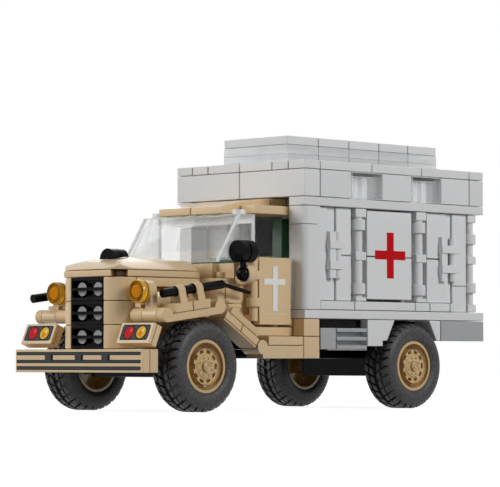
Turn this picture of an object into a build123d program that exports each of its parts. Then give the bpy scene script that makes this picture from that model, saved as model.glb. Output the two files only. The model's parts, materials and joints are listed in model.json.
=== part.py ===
from build123d import *
import os
from math import cos, hypot, radians, sin

# Brick-built toy model of a military field ambulance truck.
# Origin on the ground under the middle of the truck, +X forward, +Y to its left, +Z up, in millimetres.

# Brick system
PITCH = 8.0             # stud to stud
PLATE = 3.2             # height of a plate or tile
BRICK = 3 * PLATE
STUD_D = 4.8
STUD_H = 1.7
SEAM = 0.2              # gap between neighbouring bricks
BAR_D = 3.2             # bar that a clip snaps on
CLIP_WALL = 1.0
RUN = 0.05              # radial clearance of a running fit
ROOM = 0.4              # room round a door

# Overall sizes
NOSE_L = 76.0           # bumper face to the front of the box
BOX_L = 96.0
BODY_W = 64.0
CAB_W = 48.0
HOOD_W = 32.0
WALL_H = 36.0           # box wall between its rails

# Running gear
TYRE_D = 30.4
TYRE_W = 12.8
TYRE_PROUD = 1.6        # tyre's outer wall beyond the body side
TYRE_SHOULDER = 3.2
RIM_D = 18.0
RIM_WALL = 1.2
RIM_SLOTS = 10
DISH_D = 12.6           # slotted dish inside the rim's ring
HUB_D = 6.0
AXLE_D = 3.2
AXLE_BLOCK_L = 15.0
WHEELBASE = 104.0
FRONT_OVERHANG = 28.0   # bumper face to the front axle
TYRE_ROOM = 1.2         # tyre top to the box floor
FRAME_RISE = 5.8        # axle centre to the frame's top
FRAME_DROP = 3.7        # axle centre to the frame's underside
BEARER_INSET = 2.0      # frame side to the bearers on it
FRAME_TAIL = 12.0       # box rear to the frame's end

# Front end
BUMPER_H = 7.9
BUMPER_BACK = 3.8
RADIATOR_SETBACK = 4.0  # bumper face to the radiator's front
RADIATOR_ROWS = 3
CHEEK = 0.6             # side wall of a grille brick
SLAT_H = 1.2
SLAT_DEPTH = 1.3
HOOD_BAND_H = 2.4
BAND_NOTCH = 4.0        # open corner of the band under the crown
BAND_POCKET = 6.0       # how far the corner runs on under the crown
CROWN_H = 4.6
CROWN_FLAT_W = 10.0
CROWN_NOSE_L = 16.0
CROWN_LIP = 0.4
VENT_SETBACK = 9.2      # radiator front to the hood vent's face
HOOD_L = 37.5           # radiator front to the windscreen foot
LAMP_D = 7.9
LAMP_RIM = 0.8
LAMP_DROP = 5.0         # hood top to the lamp's centre
LAMP_OUT = 4.6          # hood side to the lamp's centre
LAMP_SETBACK = 9.6      # radiator front to the back of the lamp's holder
SIGNAL_LEAN = 23.0      # lean of the signal panels, degrees
SIGNAL_H = 7.6
SIGNAL_TILE = 1.6
SIGNAL_BACK = 2.4
SIGNAL_RISE = 1.8       # bumper top to the panels
KNUCKLE_D = 5.0
FINGER_W = 3.3          # outermost finger of a knuckle
FENDER_W = 8.0
HANDLE_RISE = 6.9       # fender arm to the tool handle's middle
HANDLE_L = 28.0
HANDLE_SLIDE = (-2.0, 6.0)  # handle's end in front of the knuckle, left and right
HANDLE_TAIL = (12.9, 2.6)   # thin end behind the handle's bend, and its drop
CLIP_L = 3.4

# Cab
GLASS = 1.4
SCREEN_RISE = 5.4       # hood side top to the windscreen foot
SCREEN_FOOT_L = 18.4    # windscreen foot, front to rear
SCREEN_HEAD_L = 8.0
COWL_SETBACK = 5.5      # windscreen foot to the cowl behind the open gap
COWL_POST_W = 4.6
FIREWALL = 4.0
SILL_RISE = 4.5         # frame top to the sill
SILL_PROUD = 2.4        # sill's outer face beyond the cab side
SILL_GAP = 0.6          # sill to the door
DRIVER_REST_W = 5.0     # taller part of the seat back beside the driver's door
DRIVER_REST_GAP = 0.7   # its top to the cab roof
DOOR_L = 15.6
DOOR_T = 3.0
DOOR_PROUD = 2.2        # door top over the windscreen foot
HINGE_REACH = 2.7       # door edge to the hinge bar
SPOT_D = 7.8
SPOT_T = 3.2
SPOT_RISE = 3.7         # windscreen foot to the lamp's centre
SPOT_OUT = 4.0          # cab side to the lamp's centre
SPOT_GROOVE = 0.5
SPOT_SETBACK = 5.2      # windscreen foot to the lamp's face
BALL_D = 5.2
BALL_DROP = 3.9         # windscreen foot to the ball's centre
NECK_D = 2.4

# Box
RAIL_PROUD = 1.6        # rails stand out from the wall panels
STRIP_SINK = 0.6        # narrow wall strips behind the panels
FRONT_STRIP = (5.6, 9.7)    # bulkhead to the two edges of the front strip
POST_SETBACK = 17.7     # bulkhead to the side door's hinge post
REAR_STRIP_L = 2.9
FRONT_LATCH = (3.3, -0.3)   # latch pad and latch bar, from the strip's edge
REAR_LATCH = (3.1, -2.7)
HINGE_BAR_D = 4.0
POST_GAP = 0.6          # hinge clip to the wall behind it
SIDE_DOOR_L = 24.0
REAR_HINGE = 3.0        # rear hinge bar in from the box's corner
LATCH_L = 16.4
HATCH_W = 28.0          # opening between cab and box
TIER_W = 32.0
TIER_LAYERS = 2
CLEAR_WALL = 1.6
COLUMN_R = 2.5
SLAT_GAP = 3.0          # depth of the skirt vent's slats

# Places that follow from the sizes above
FRONT_X = (NOSE_L + BOX_L) / 2
REAR_X = -FRONT_X
BOX_X = FRONT_X - NOSE_L
HALF_W = BODY_W / 2
CAB_Y = CAB_W / 2
HOOD_Y = HOOD_W / 2
WALL_IN = HALF_W - PITCH
WALL_OUT = HALF_W - RAIL_PROUD
HINGE_Y = WALL_OUT - HINGE_BAR_D / 2 + RAIL_PROUD / 2
POST_BACK = HINGE_Y - HINGE_BAR_D / 2 - CLIP_WALL - POST_GAP
AXLE_Z = TYRE_D / 2
FRONT_AXLE_X = FRONT_X - FRONT_OVERHANG
REAR_AXLE_X = FRONT_AXLE_X - WHEELBASE
FRAME_Z = AXLE_Z + FRAME_RISE
FLOOR_Z = TYRE_D + TYRE_ROOM
FLOOR_TOP = FLOOR_Z + PLATE
WALL_TOP = FLOOR_TOP + WALL_H
RAIL_TOP = WALL_TOP + PLATE
BAND_TOP = RAIL_TOP + BRICK
DECK_TOP = BAND_TOP + PLATE
TIER_TOP = DECK_TOP + TIER_LAYERS * PLATE
RADIATOR_X = FRONT_X - RADIATOR_SETBACK
HOOD_TOP = FRAME_Z + RADIATOR_ROWS * PITCH
HOOD_SIDE = HOOD_Y - SEAM / 2
CROWN_Z = HOOD_TOP + HOOD_BAND_H
LAMP_Y = HOOD_Y + LAMP_OUT
FENDER_Y = (HALF_W - FENDER_W, HALF_W)
FRONT_KNUCKLE = (FRONT_AXLE_X + 16.8, TYRE_D + 1.7)
CREST_KNUCKLE = (FRONT_AXLE_X - 7.4, TYRE_D + 4.8)
FOOT_KNUCKLE = (FRONT_AXLE_X - 27.5, FRAME_Z + 0.7)
SCREEN_X = RADIATOR_X - HOOD_L
SCREEN_REAR_X = SCREEN_X - SCREEN_FOOT_L
SCREEN_HEAD_X = SCREEN_REAR_X + SCREEN_HEAD_L
SCREEN_STUD_X = SCREEN_REAR_X + SCREEN_HEAD_L / 2
SCREEN_BASE_Z = HOOD_TOP + SCREEN_RISE
ROOF_LOW = RAIL_TOP - 2 * PLATE - SEAM / 2
SCREEN_TOP_Z = ROOF_LOW - SEAM
SILL_Z = FRAME_Z + SILL_RISE
SILL_TOP = SILL_Z + PLATE
DOOR_Z = SILL_TOP + SILL_GAP
DOOR_TOP = SCREEN_BASE_Z + DOOR_PROUD
CAB_FLOOR_Y = CAB_Y - FIREWALL
BULKHEAD_X = BOX_X - PITCH
TAIL_X = REAR_X + PITCH
WALL_SPLIT = (FLOOR_TOP + WALL_TOP + PLATE - 2 * ROOM) / 2


def block(x, y, z):
    """Box between two values along each axis."""
    low = [min(pair) for pair in (x, y, z)]
    size = [abs(pair[1] - pair[0]) for pair in (x, y, z)]
    return Pos(*low) * Box(*size, align=(Align.MIN, Align.MIN, Align.MIN))


def side_prism(face, y):
    """Extrude a face drawn in X and Z between two values of Y."""
    return extrude(Plane.XZ.offset(-max(y)) * face, abs(y[1] - y[0]))


def front_prism(face, x):
    """Extrude a face drawn in Y and Z between two values of X."""
    return extrude(Plane.YZ.offset(min(x)) * face, abs(x[1] - x[0]))


def plan_prism(face, z):
    """Extrude a face drawn in X and Y between two values of Z."""
    return extrude(Plane.XY.offset(min(z)) * face, abs(z[1] - z[0]))


def outline(*points):
    """Face inside straight lines between the points."""
    return make_face(Polyline(*points, close=True))


def rod(start, end, diameter):
    """Round bar between two points."""
    way = Vector(*end) - Vector(*start)
    return extrude(Plane(origin=start, z_dir=way) * Circle(diameter / 2), way.length)


def upright(x, y, z, diameter):
    """Round bar standing between two values of Z."""
    return rod((x, y, z[0]), (x, y, z[1]), diameter)


def both(piece):
    """A piece on the left and its mirror image on the right."""
    return [piece, piece.mirror(Plane.XZ)]


def save(node, *pieces):
    """Write the solids of one sub-part."""
    solids = []
    for piece in pieces:
        solids.extend(piece.solids())
    export_step(Compound(solids) if len(solids) > 1 else solids[0], f"parts/{node}.step")


def chassis():
    side = (-HOOD_Y, HOOD_Y)
    frame_x = (REAR_X + FRAME_TAIL, FRONT_X - PLATE - BUMPER_BACK)
    block_z = (AXLE_Z - FRAME_DROP, FRAME_Z - PLATE)
    frame = block(frame_x, side, (FRAME_Z - PLATE, FRAME_Z))
    half = AXLE_BLOCK_L / 2
    for axle_x in (FRONT_AXLE_X, REAR_AXLE_X):
        frame += block((axle_x - half, axle_x + half), side, block_z)
        frame -= rod((axle_x, -HOOD_Y, AXLE_Z), (axle_x, HOOD_Y, AXLE_Z), AXLE_D + 2 * RUN)
    save("chassis_frame", frame)
    bearer_y = (-HOOD_Y + BEARER_INSET, HOOD_Y - BEARER_INSET)
    box_bearer = block((REAR_X + FRAME_TAIL, BULKHEAD_X - SEAM), bearer_y, (FRAME_Z, FLOOR_Z))
    cab_bearer = block((BULKHEAD_X, SCREEN_X - SEAM), bearer_y, (FRAME_Z, FLOOR_Z - PLATE))
    hanger_x = (BULKHEAD_X - 3 * PITCH, BULKHEAD_X)
    vent_hanger = block(hanger_x, (WALL_IN, HALF_W - SLAT_GAP), (FLOOR_Z - SLAT_GAP, FLOOR_Z))
    save("body_bearers", box_bearer, cab_bearer, *both(vent_hanger))


def wheels():
    outer = HALF_W + TYRE_PROUD
    inner = outer - TYRE_W
    middle = (inner + outer) / 2
    tread_r = TYRE_D / 2
    seat_r = RIM_D / 2
    wall_r = (seat_r + tread_r) / 2
    soft = TYRE_SHOULDER / 3
    bulge = [(seat_r + RUN, outer - soft), (wall_r, outer)]
    shoulder = [(tread_r - soft, outer - soft), (tread_r, outer - 3 * soft)]
    half_face = bulge + shoulder
    tyre_face = outline(*half_face, *[(r, 2 * middle - y) for r, y in reversed(half_face)])
    tyre = revolve(tyre_face, Axis.Y)
    ring_r = seat_r - RIM_WALL
    dish_r = DISH_D / 2
    hub_r = HUB_D / 2
    bore_r = AXLE_D / 2 + RUN
    bore_end = outer - 2.6
    lip = outer - 0.9
    dish = outer - 0.4
    groove = outer - 5.0
    back = groove - RIM_WALL
    bead = 0.5
    ledge = dish - 2 * bead
    ledge_r = dish_r - bead
    face_r = ledge_r - 1.6
    boss_r = AXLE_D / 2 + bead / 2
    rim_face = outline(
        (bore_r, inner - bead), (hub_r, inner - bead), (hub_r, back), (ring_r, back), (ring_r, inner + bead),
        (seat_r, inner + bead), (seat_r, lip), (ring_r, lip), (ring_r, groove), (dish_r, groove),
        (dish_r, dish), (ledge_r, ledge), (face_r, ledge), (face_r - bead, dish - bead),
        (boss_r, dish - bead), (boss_r, dish), (0, dish), (0, bore_end), (bore_r, bore_end))
    rim = revolve(rim_face, Axis.Y)
    slot_l = 0.6 * (ledge_r - face_r)
    slot = Pos((ledge_r + face_r) / 2, ledge, 0) * Box(slot_l, 6 * bead, 1.8 * slot_l)
    for turn in range(RIM_SLOTS):
        rim -= Rot(0, turn * 360 / RIM_SLOTS, 0) * slot
    reach = bore_end - bead
    for end, axle_x in (("front", FRONT_AXLE_X), ("rear", REAR_AXLE_X)):
        place = Pos(axle_x, 0, AXLE_Z)
        for kind, piece in (("tyre", tyre), ("rim", rim)):
            for side, solid in zip(("left", "right"), both(place * piece)):
                save(f"{end}_{side}_{kind}", solid)
        save(f"{end}_axle", rod((axle_x, -reach, AXLE_Z), (axle_x, reach, AXLE_Z), AXLE_D))


def bumper():
    z = (FRAME_Z - BUMPER_H, FRAME_Z)
    tile = block((FRONT_X - PLATE, FRONT_X), (-HALF_W, HALF_W), z)
    back = block((FRONT_X - PLATE - BUMPER_BACK, FRONT_X - PLATE), (-HALF_W, HALF_W), z)
    save("front_bumper", tile, back)


def radiator():
    grille_rows = []
    corners = []
    core_y = PITCH - SEAM / 2
    corner_x = RADIATOR_X - PITCH
    back_x = RADIATOR_X - SLAT_DEPTH - STUD_H - SEAM
    radius = PITCH - SEAM / 2
    quarter = make_face(
        [
            Line((corner_x, PITCH), (corner_x + radius, PITCH)),
            RadiusArc((corner_x + radius, PITCH), (corner_x, PITCH + radius), -radius),
            Line((corner_x, PITCH + radius), (corner_x, PITCH)),
        ]
    )
    for row in range(RADIATOR_ROWS):
        low = FRAME_Z + row * PITCH
        high = low + PITCH
        middle = (low + high) / 2
        core = block((corner_x, back_x), (-core_y, core_y), (low, high))
        for cheek in both(block((back_x, RADIATOR_X), (core_y - CHEEK, core_y), (low, high))):
            core += cheek
        for slat_low in (low, middle - SLAT_H / 2, high - SLAT_H):
            slat_z = (slat_low, slat_low + SLAT_H)
            core += block((RADIATOR_X - SLAT_DEPTH, RADIATOR_X), (-core_y, core_y), slat_z)
        for stud_y in (-PITCH / 2, PITCH / 2):
            core += rod((back_x, stud_y, middle), (back_x + STUD_H, stud_y, middle), STUD_D)
        grille_rows.append(core)
        corners.extend(both(plan_prism(quarter, (low, high))))
    save("radiator_grille", *grille_rows)
    save("radiator_corners", *corners)


def hood():
    x = (SCREEN_X, RADIATOR_X - PITCH - SEAM)
    ledge = HOOD_TOP - 2 * PLATE
    lower = block(x, (-HOOD_SIDE, HOOD_SIDE), (FRAME_Z, ledge))
    for step in range(int((x[1] - x[0]) / PITCH)):
        stud_x = x[1] - PITCH * (step + 0.5)
        for stud in both(upright(stud_x, 1.5 * PITCH, (ledge, ledge + STUD_H), STUD_D)):
            lower += stud
    neck = block(x, (-PITCH, PITCH), (ledge, HOOD_TOP - PLATE))
    cap = block(x, (-HOOD_SIDE, HOOD_SIDE), (HOOD_TOP - PLATE, HOOD_TOP))
    save("hood_sides", lower, neck, cap)
    half_band = [
        (SCREEN_X, HOOD_SIDE), (RADIATOR_X - BAND_NOTCH, HOOD_SIDE),
        (RADIATOR_X - BAND_NOTCH - BAND_POCKET, HOOD_SIDE - BAND_NOTCH / 2 - BAND_POCKET),
        (RADIATOR_X - BAND_NOTCH / 2 - BAND_POCKET, HOOD_SIDE - BAND_NOTCH - BAND_POCKET),
        (RADIATOR_X, HOOD_SIDE - BAND_NOTCH)]
    band = outline(*half_band, *[(x, -y) for x, y in reversed(half_band)])
    save("hood_band", plan_prism(band, (HOOD_TOP, CROWN_Z)))
    plan = outline(
        (SCREEN_X, -HOOD_SIDE), (RADIATOR_X, -HOOD_SIDE), (RADIATOR_X, HOOD_SIDE), (SCREEN_X, HOOD_SIDE))
    plan = fillet(plan.vertices().group_by(Axis.X)[-1], PITCH - SEAM / 2)
    crest = CROWN_Z + CROWN_H
    lip = CROWN_Z + CROWN_LIP
    flat = CROWN_FLAT_W / 2
    bulge = ((HOOD_SIDE + flat) / 2 + 1, CROWN_Z + 0.62 * CROWN_H)
    across = make_face(
        [
            Polyline((-HOOD_SIDE, lip), (-HOOD_SIDE, CROWN_Z), (HOOD_SIDE, CROWN_Z), (HOOD_SIDE, lip)),
            ThreePointArc((HOOD_SIDE, lip), bulge, (flat, crest)),
            Line((flat, crest), (-flat, crest)),
            ThreePointArc((-flat, crest), (-bulge[0], bulge[1]), (-HOOD_SIDE, lip)),
        ]
    )
    bend_x = RADIATOR_X - CROWN_NOSE_L
    rear_top = crest - 1
    nose = (bend_x + 0.6 * CROWN_NOSE_L, CROWN_Z + 0.66 * CROWN_H)
    along = make_face(
        [
            Polyline((RADIATOR_X, lip), (RADIATOR_X, CROWN_Z), (SCREEN_X, CROWN_Z), (SCREEN_X, rear_top)),
            Line((SCREEN_X, rear_top), (bend_x, crest)),
            ThreePointArc((bend_x, crest), nose, (RADIATOR_X, lip)),
        ]
    )
    crown = plan_prism(plan, (CROWN_Z, crest))
    crown &= front_prism(across, (SCREEN_X, RADIATOR_X))
    crown &= side_prism(along, (-HOOD_SIDE, HOOD_SIDE))
    save("hood_crown", crown)
    vent = []
    for step in range(2):
        front = RADIATOR_X - VENT_SETBACK - step * (PLATE + SEAM)
        disc_x = (front - PLATE, front)
        dome = front_prism(Pos(0, rear_top) * Circle(PITCH / 2), disc_x)
        dome &= block(disc_x, (-PITCH, PITCH), (rear_top, crest + PITCH))
        vent.append(dome - crown)
    save("hood_vent", *vent)


def headlights():
    lamp_z = HOOD_TOP - LAMP_DROP
    holder_x = RADIATOR_X - LAMP_SETBACK
    face_x = holder_x + PLATE
    half = PITCH / 2 - SEAM
    finger_y = (LAMP_Y + 1, HALF_W - FINGER_W)
    base = FRONT_KNUCKLE[1]
    slab = Pos(LAMP_Y, lamp_z) * Circle(half)
    slab += Pos(LAMP_Y, (base + lamp_z) / 2) * Rectangle(2 * half, lamp_z - base)
    holder = front_prism(slab, (holder_x, face_x))
    gap_top = base + KNUCKLE_D / 2 + 1
    holder -= block((holder_x, face_x), (LAMP_Y - 1, LAMP_Y + 1), (base, gap_top))
    holder -= block((holder_x, face_x), (LAMP_Y - half, LAMP_Y + 1), (base, base + KNUCKLE_D / 2))
    knuckle_x, knuckle_z = FRONT_KNUCKLE
    holder += rod((knuckle_x, finger_y[0], knuckle_z), (knuckle_x, finger_y[1], knuckle_z), KNUCKLE_D)
    save("headlight_holders", *both(holder))
    lens = rod((face_x, LAMP_Y, lamp_z), (face_x + PLATE, LAMP_Y, lamp_z), LAMP_D)
    ring = Circle(LAMP_D / 2 - LAMP_RIM) - Circle(STUD_D / 2)
    lens -= front_prism(Pos(LAMP_Y, lamp_z) * ring, (face_x + PLATE - LAMP_RIM, face_x + PLATE))
    save("headlight_lenses", *both(lens))


def signal_boxes():
    foot_x = FRONT_X - 2.2
    foot_z = FRAME_Z + SIGNAL_RISE
    lean = radians(SIGNAL_LEAN)
    up = (-sin(lean), cos(lean))
    out = (cos(lean), sin(lean))
    pieces = []
    for front, depth in ((0, SIGNAL_TILE), (SIGNAL_TILE, SIGNAL_BACK)):
        corners = []
        for rise, back in ((0, front), (SIGNAL_H, front), (SIGNAL_H, front + depth), (0, front + depth)):
            corners.append((foot_x + up[0] * rise - out[0] * back, foot_z + up[1] * rise - out[1] * back))
        pieces.extend(both(side_prism(outline(*corners), (HOOD_Y + SEAM, HALF_W))))
    save("signal_boxes", *pieces)


def bar_strip(start, end, low, high):
    """Four corners of a strip beside a line drawn in X and Z, between two offsets."""
    run = Vector(end[0] - start[0], end[1] - start[1])
    way = run.normalized()
    up = Vector(way.Y, -way.X) if way.X < 0 else Vector(-way.Y, way.X)
    corners = []
    for point, offset in ((start, low), (end, low), (end, high), (start, high)):
        corners.append((point[0] + up.X * offset, point[1] + up.Y * offset))
    return corners


def along_line(start, end, distance):
    """Point at a distance from the start of a line drawn in X and Z."""
    share = distance / hypot(end[0] - start[0], end[1] - start[1])
    return (start[0] + (end[0] - start[0]) * share, start[1] + (end[1] - start[1]) * share)


def fenders():
    front, crest, foot = FRONT_KNUCKLE, CREST_KNUCKLE, FOOT_KNUCKLE
    web = (-KNUCKLE_D / 2, 0.1)
    finger_y = HALF_W - FINGER_W
    arm = side_prism(outline(*bar_strip(front, crest, *web)), FENDER_Y)
    arm += rod((crest[0], FENDER_Y[0], crest[1]), (crest[0], HALF_W, crest[1]), KNUCKLE_D)
    arm -= rod((front[0], FENDER_Y[0], front[1]), (front[0], finger_y, front[1]), KNUCKLE_D + 2 * SEAM)
    arm += rod((front[0], finger_y, front[1]), (front[0], HALF_W, front[1]), KNUCKLE_D)
    pieces = both(arm)
    tile_top = web[1] + PLATE
    handle_y = sum(FENDER_Y) / 2
    rail = bar_strip(front, crest, HANDLE_RISE, HANDLE_RISE)[:2]
    handles = []
    for slide in HANDLE_SLIDE:
        nose, bend = [along_line(*rail, reach) for reach in (-slide, HANDLE_L - slide)]
        ends = [(x, handle_y, z) for x, z in (nose, bend)]
        tip = (bend[0] - HANDLE_TAIL[0], handle_y, bend[1] - HANDLE_TAIL[1])
        handles.append(rod(*ends, BAR_D) + rod(ends[1], tip, BAR_D / 2))
    drop = HANDLE_RISE - tile_top
    grip = BAR_D / 2 + CLIP_WALL
    section = outline((-grip, -drop), (grip, -drop), (grip - 0.5, 0), (0.5 - grip, 0)) + Circle(grip - 0.4)
    for step in range(2):
        near = 3.8 + step * (PITCH + SEAM)
        low = along_line(front, crest, near)
        high = along_line(front, crest, near + PITCH)
        tile = side_prism(outline(*bar_strip(low, high, web[1], tile_top)), FENDER_Y)
        seat = along_line(low, high, PITCH - 4 * SEAM)
        hold = bar_strip(seat, crest, HANDLE_RISE, HANDLE_RISE)[0]
        ahead = Vector(*ends[0]) - Vector(*ends[1])
        across = Plane(origin=(hold[0], handle_y, hold[1]), x_dir=(0, 1, 0), z_dir=ahead)
        tile += extrude(across * section, CLIP_L)
        tile -= rod(*ends, BAR_D + 2 * RUN)
        pieces.extend(both(tile))
    slope_start = (crest[0] - 2.6, crest[1] - 2.6)
    slope_l = hypot(slope_start[0] - foot[0], slope_start[1] - foot[1])
    short = KNUCKLE_D / 2 + SEAM
    # Columns: offsets of the layer's two faces from the line, gap at its two ends, pieces end to end
    layers = ((-2.2, -1.3, 0, short, 1), (-1.3, 1.5, 0, short, 2), (1.5, 4.1, 1.4, short + 1, 1))
    for low, high, near, far, count in layers:
        length = (slope_l - near - far) / count
        for step in range(count):
            a = along_line(slope_start, foot, near + step * length)
            b = along_line(slope_start, foot, near + (step + 1) * length - SEAM * (step + 1 < count))
            pieces.extend(both(side_prism(outline(*bar_strip(a, b, low, high)), FENDER_Y)))
    inner_y = (HOOD_Y + SEAM / 2, FENDER_Y[0] - SEAM)
    deck = block((SCREEN_X + SEAM, front[0] - KNUCKLE_D / 2 - SEAM), inner_y, (FLOOR_Z, FLOOR_TOP))
    deck += block((SCREEN_X + SEAM, front[0]), (inner_y[0], LAMP_Y + 1), (FLOOR_Z, front[1] + KNUCKLE_D / 2))
    deck += rod((front[0], inner_y[0], front[1]), (front[0], LAMP_Y + 1, front[1]), KNUCKLE_D)
    pieces.extend(both(deck))
    for step in range(2):
        z = (FLOOR_TOP + step * PLATE / 2, FLOOR_TOP + (step + 1) * PLATE / 2 - SEAM * step)
        pieces.extend(both(block((SCREEN_X - PITCH, SCREEN_X - PLATE / 2), (CAB_Y, CAB_Y + FIREWALL), z)))
    save("fenders", *pieces)
    save("tool_handles", handles[0], handles[1].mirror(Plane.XZ))


def running_boards():
    rear_x = BULKHEAD_X + ROOM
    seam_x = rear_x + PITCH
    low = FRAME_Z - PLATE
    middle = SILL_Z - PLATE
    knuckle_x = FOOT_KNUCKLE[0]
    board = Pos(*FOOT_KNUCKLE) * Circle(KNUCKLE_D / 2)
    board += outline((seam_x + SEAM, low), (knuckle_x, low), (knuckle_x, middle), (seam_x + SEAM, middle))
    end = block((rear_x, seam_x), FENDER_Y, (low, SILL_Z))
    tile = block((seam_x + SEAM, knuckle_x - KNUCKLE_D / 2 - ROOM), FENDER_Y, (middle, SILL_Z))
    riser = block((rear_x, seam_x), (CAB_Y + SILL_PROUD + SEAM, HALF_W), (SILL_Z, FLOOR_Z))
    boards = both(side_prism(board, FENDER_Y))
    save("running_boards", *boards, *both(end), *both(tile), *both(riser))


def cab():
    wall_x = SCREEN_X - FIREWALL
    side_y = (CAB_FLOOR_Y + SEAM, CAB_Y)
    rear_x = BULKHEAD_X + ROOM
    floor_z = (FLOOR_Z - PLATE, FLOOR_Z)
    door_rear = BOX_X + 1.7
    door_front = door_rear + DOOR_L
    bar_x = door_front + HINGE_REACH
    bar_y = CAB_Y + BAR_D / 2 + CLIP_WALL + SEAM
    save("cab_floor", block((BULKHEAD_X, wall_x - SEAM), (-CAB_FLOOR_Y, CAB_FLOOR_Y), floor_z))
    sill_y = (side_y[0], CAB_Y + SILL_PROUD)
    sill = block((rear_x, door_front + 2), sill_y, (SILL_Z, SILL_TOP))
    post_foot = block((rear_x, BOX_X + 1), sill_y, (SILL_TOP, FLOOR_Z))
    save("cab_sills", *both(sill), *both(post_foot))
    firewall = block((wall_x, SCREEN_X - SEAM), (-CAB_Y, CAB_Y), (floor_z[0], HOOD_TOP))
    quarter = block((door_front + 2 * ROOM, wall_x - SEAM), side_y, (SILL_TOP, HOOD_TOP))
    save("cab_walls", firewall, *both(quarter))
    cowl_z = (HOOD_TOP, SCREEN_BASE_Z)
    cowl = block((SCREEN_REAR_X, SCREEN_X - COWL_SETBACK), (-HOOD_Y, HOOD_Y), cowl_z)
    post_x = SCREEN_X - PITCH
    post_y = (CAB_Y - COWL_POST_W, CAB_Y)
    plug_r = (post_y[0] - HOOD_Y) / 2
    for post in both(block((SCREEN_REAR_X, post_x), (HOOD_Y, CAB_Y), cowl_z)):
        cowl += post
    for plug in both(upright(post_x, HOOD_Y + plug_r, (HOOD_TOP, CROWN_Z), 2 * plug_r)):
        cowl += plug
    save("cowl", cowl)
    seat_y = (BEARER_INSET - CAB_FLOOR_Y, CAB_FLOOR_Y - BEARER_INSET)
    bench = block((BOX_X + ROOM, BOX_X + 1.5 * PITCH), seat_y, (FLOOR_Z, FLOOR_Z + 2 * PLATE))
    rest = block((BULKHEAD_X + 1, BULKHEAD_X + 5), seat_y, (FLOOR_TOP, FLOOR_TOP + 2 * BRICK))
    driver_y = (seat_y[1] - DRIVER_REST_W, seat_y[1])
    rest += block((BULKHEAD_X + 1, BULKHEAD_X + 5), driver_y, (FLOOR_TOP, ROOF_LOW - DRIVER_REST_GAP))
    save("cab_seats", bench, rest)
    bracket = 2.4
    bar_z = (DOOR_Z + bracket / 2, DOOR_TOP - bracket / 2)
    bar = upright(bar_x, bar_y, bar_z, BAR_D)
    for low in (bar_z[0], bar_z[1] - bracket):
        bar += block((bar_x - BAR_D / 2, bar_x + BAR_D / 2), (CAB_Y, bar_y), (low, low + bracket))
    save("door_hinge_bars", *both(bar))
    door_y = (CAB_Y + SEAM, CAB_Y + SEAM + DOOR_T)
    door = block((door_rear, door_front), door_y, (DOOR_Z, DOOR_TOP))
    for low in (DOOR_Z + 6, DOOR_TOP - 8):
        clip_z = (low, low + PLATE)
        door += block((door_front, bar_x), (door_y[0] + ROOM, door_y[1]), clip_z)
        door += upright(bar_x, bar_y, clip_z, BAR_D + 2 * CLIP_WALL)
        door -= upright(bar_x, bar_y, clip_z, BAR_D + 2 * RUN)
    for side, solid in zip(("left", "right"), both(door)):
        save(f"cab_door_{side}", solid)


def windscreen():
    lean = (SCREEN_X - SCREEN_HEAD_X) / (SCREEN_TOP_Z - SCREEN_BASE_Z)
    inset = GLASS * hypot(1, lean)
    ceiling = SCREEN_TOP_Z - PLATE
    past = 1
    shell = outline(
        (SCREEN_REAR_X, SCREEN_BASE_Z), (SCREEN_X, SCREEN_BASE_Z), (SCREEN_HEAD_X, SCREEN_TOP_Z),
        (SCREEN_REAR_X, SCREEN_TOP_Z))
    hollow = outline(
        (SCREEN_REAR_X - past, SCREEN_BASE_Z - past), (SCREEN_X - inset + lean * past, SCREEN_BASE_Z - past),
        (SCREEN_HEAD_X + lean * PLATE - inset, ceiling), (SCREEN_REAR_X - past, ceiling))
    screen = side_prism(shell, (-CAB_Y, CAB_Y)) - side_prism(hollow, (-CAB_Y + GLASS, CAB_Y - GLASS))
    for step in range(int(CAB_W / PITCH)):
        stud_y = -CAB_Y + PITCH * (step + 0.5)
        screen += upright(SCREEN_STUD_X, stud_y, (SCREEN_TOP_Z, SCREEN_TOP_Z + STUD_H), STUD_D)
    save("windscreen", screen)


def cab_roof():
    step_x = SCREEN_REAR_X - 6.7
    middle = ROOF_LOW + PLATE
    top = RAIL_TOP - SEAM
    lip = ROOF_LOW + 2.7
    rear_x = BULKHEAD_X + SEAM
    crown = ((SCREEN_HEAD_X + BOX_X) / 2, (lip + top) / 2 + 0.5)
    profile = make_face(
        [
            Polyline((BOX_X + SEAM, top), (BOX_X + SEAM, middle), (step_x, middle), (step_x, ROOF_LOW)),
            Polyline((step_x, ROOF_LOW), (SCREEN_HEAD_X, ROOF_LOW), (SCREEN_HEAD_X, lip)),
            ThreePointArc((SCREEN_HEAD_X, lip), crown, (BOX_X + SEAM, top)),
        ]
    )
    slope = side_prism(profile, (SEAM / 2, HOOD_Y))
    stud_room = STUD_D / 2 + 0.6
    slot_x = (SCREEN_STUD_X - stud_room, SCREEN_STUD_X + stud_room)
    slope -= block(slot_x, (0, HOOD_Y - 1), (ROOF_LOW, ROOF_LOW + STUD_H))
    tail = block((rear_x, BOX_X), (-HOOD_Y, HOOD_Y), (middle, top))
    under = block((rear_x, step_x - SEAM), (-HOOD_Y, HOOD_Y), (ROOF_LOW, middle))
    edge = block((rear_x, SCREEN_REAR_X - SEAM), (HOOD_Y + SEAM, CAB_Y), (ROOF_LOW, middle))
    save("cab_roof", *both(slope), tail, under, *both(edge))


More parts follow.
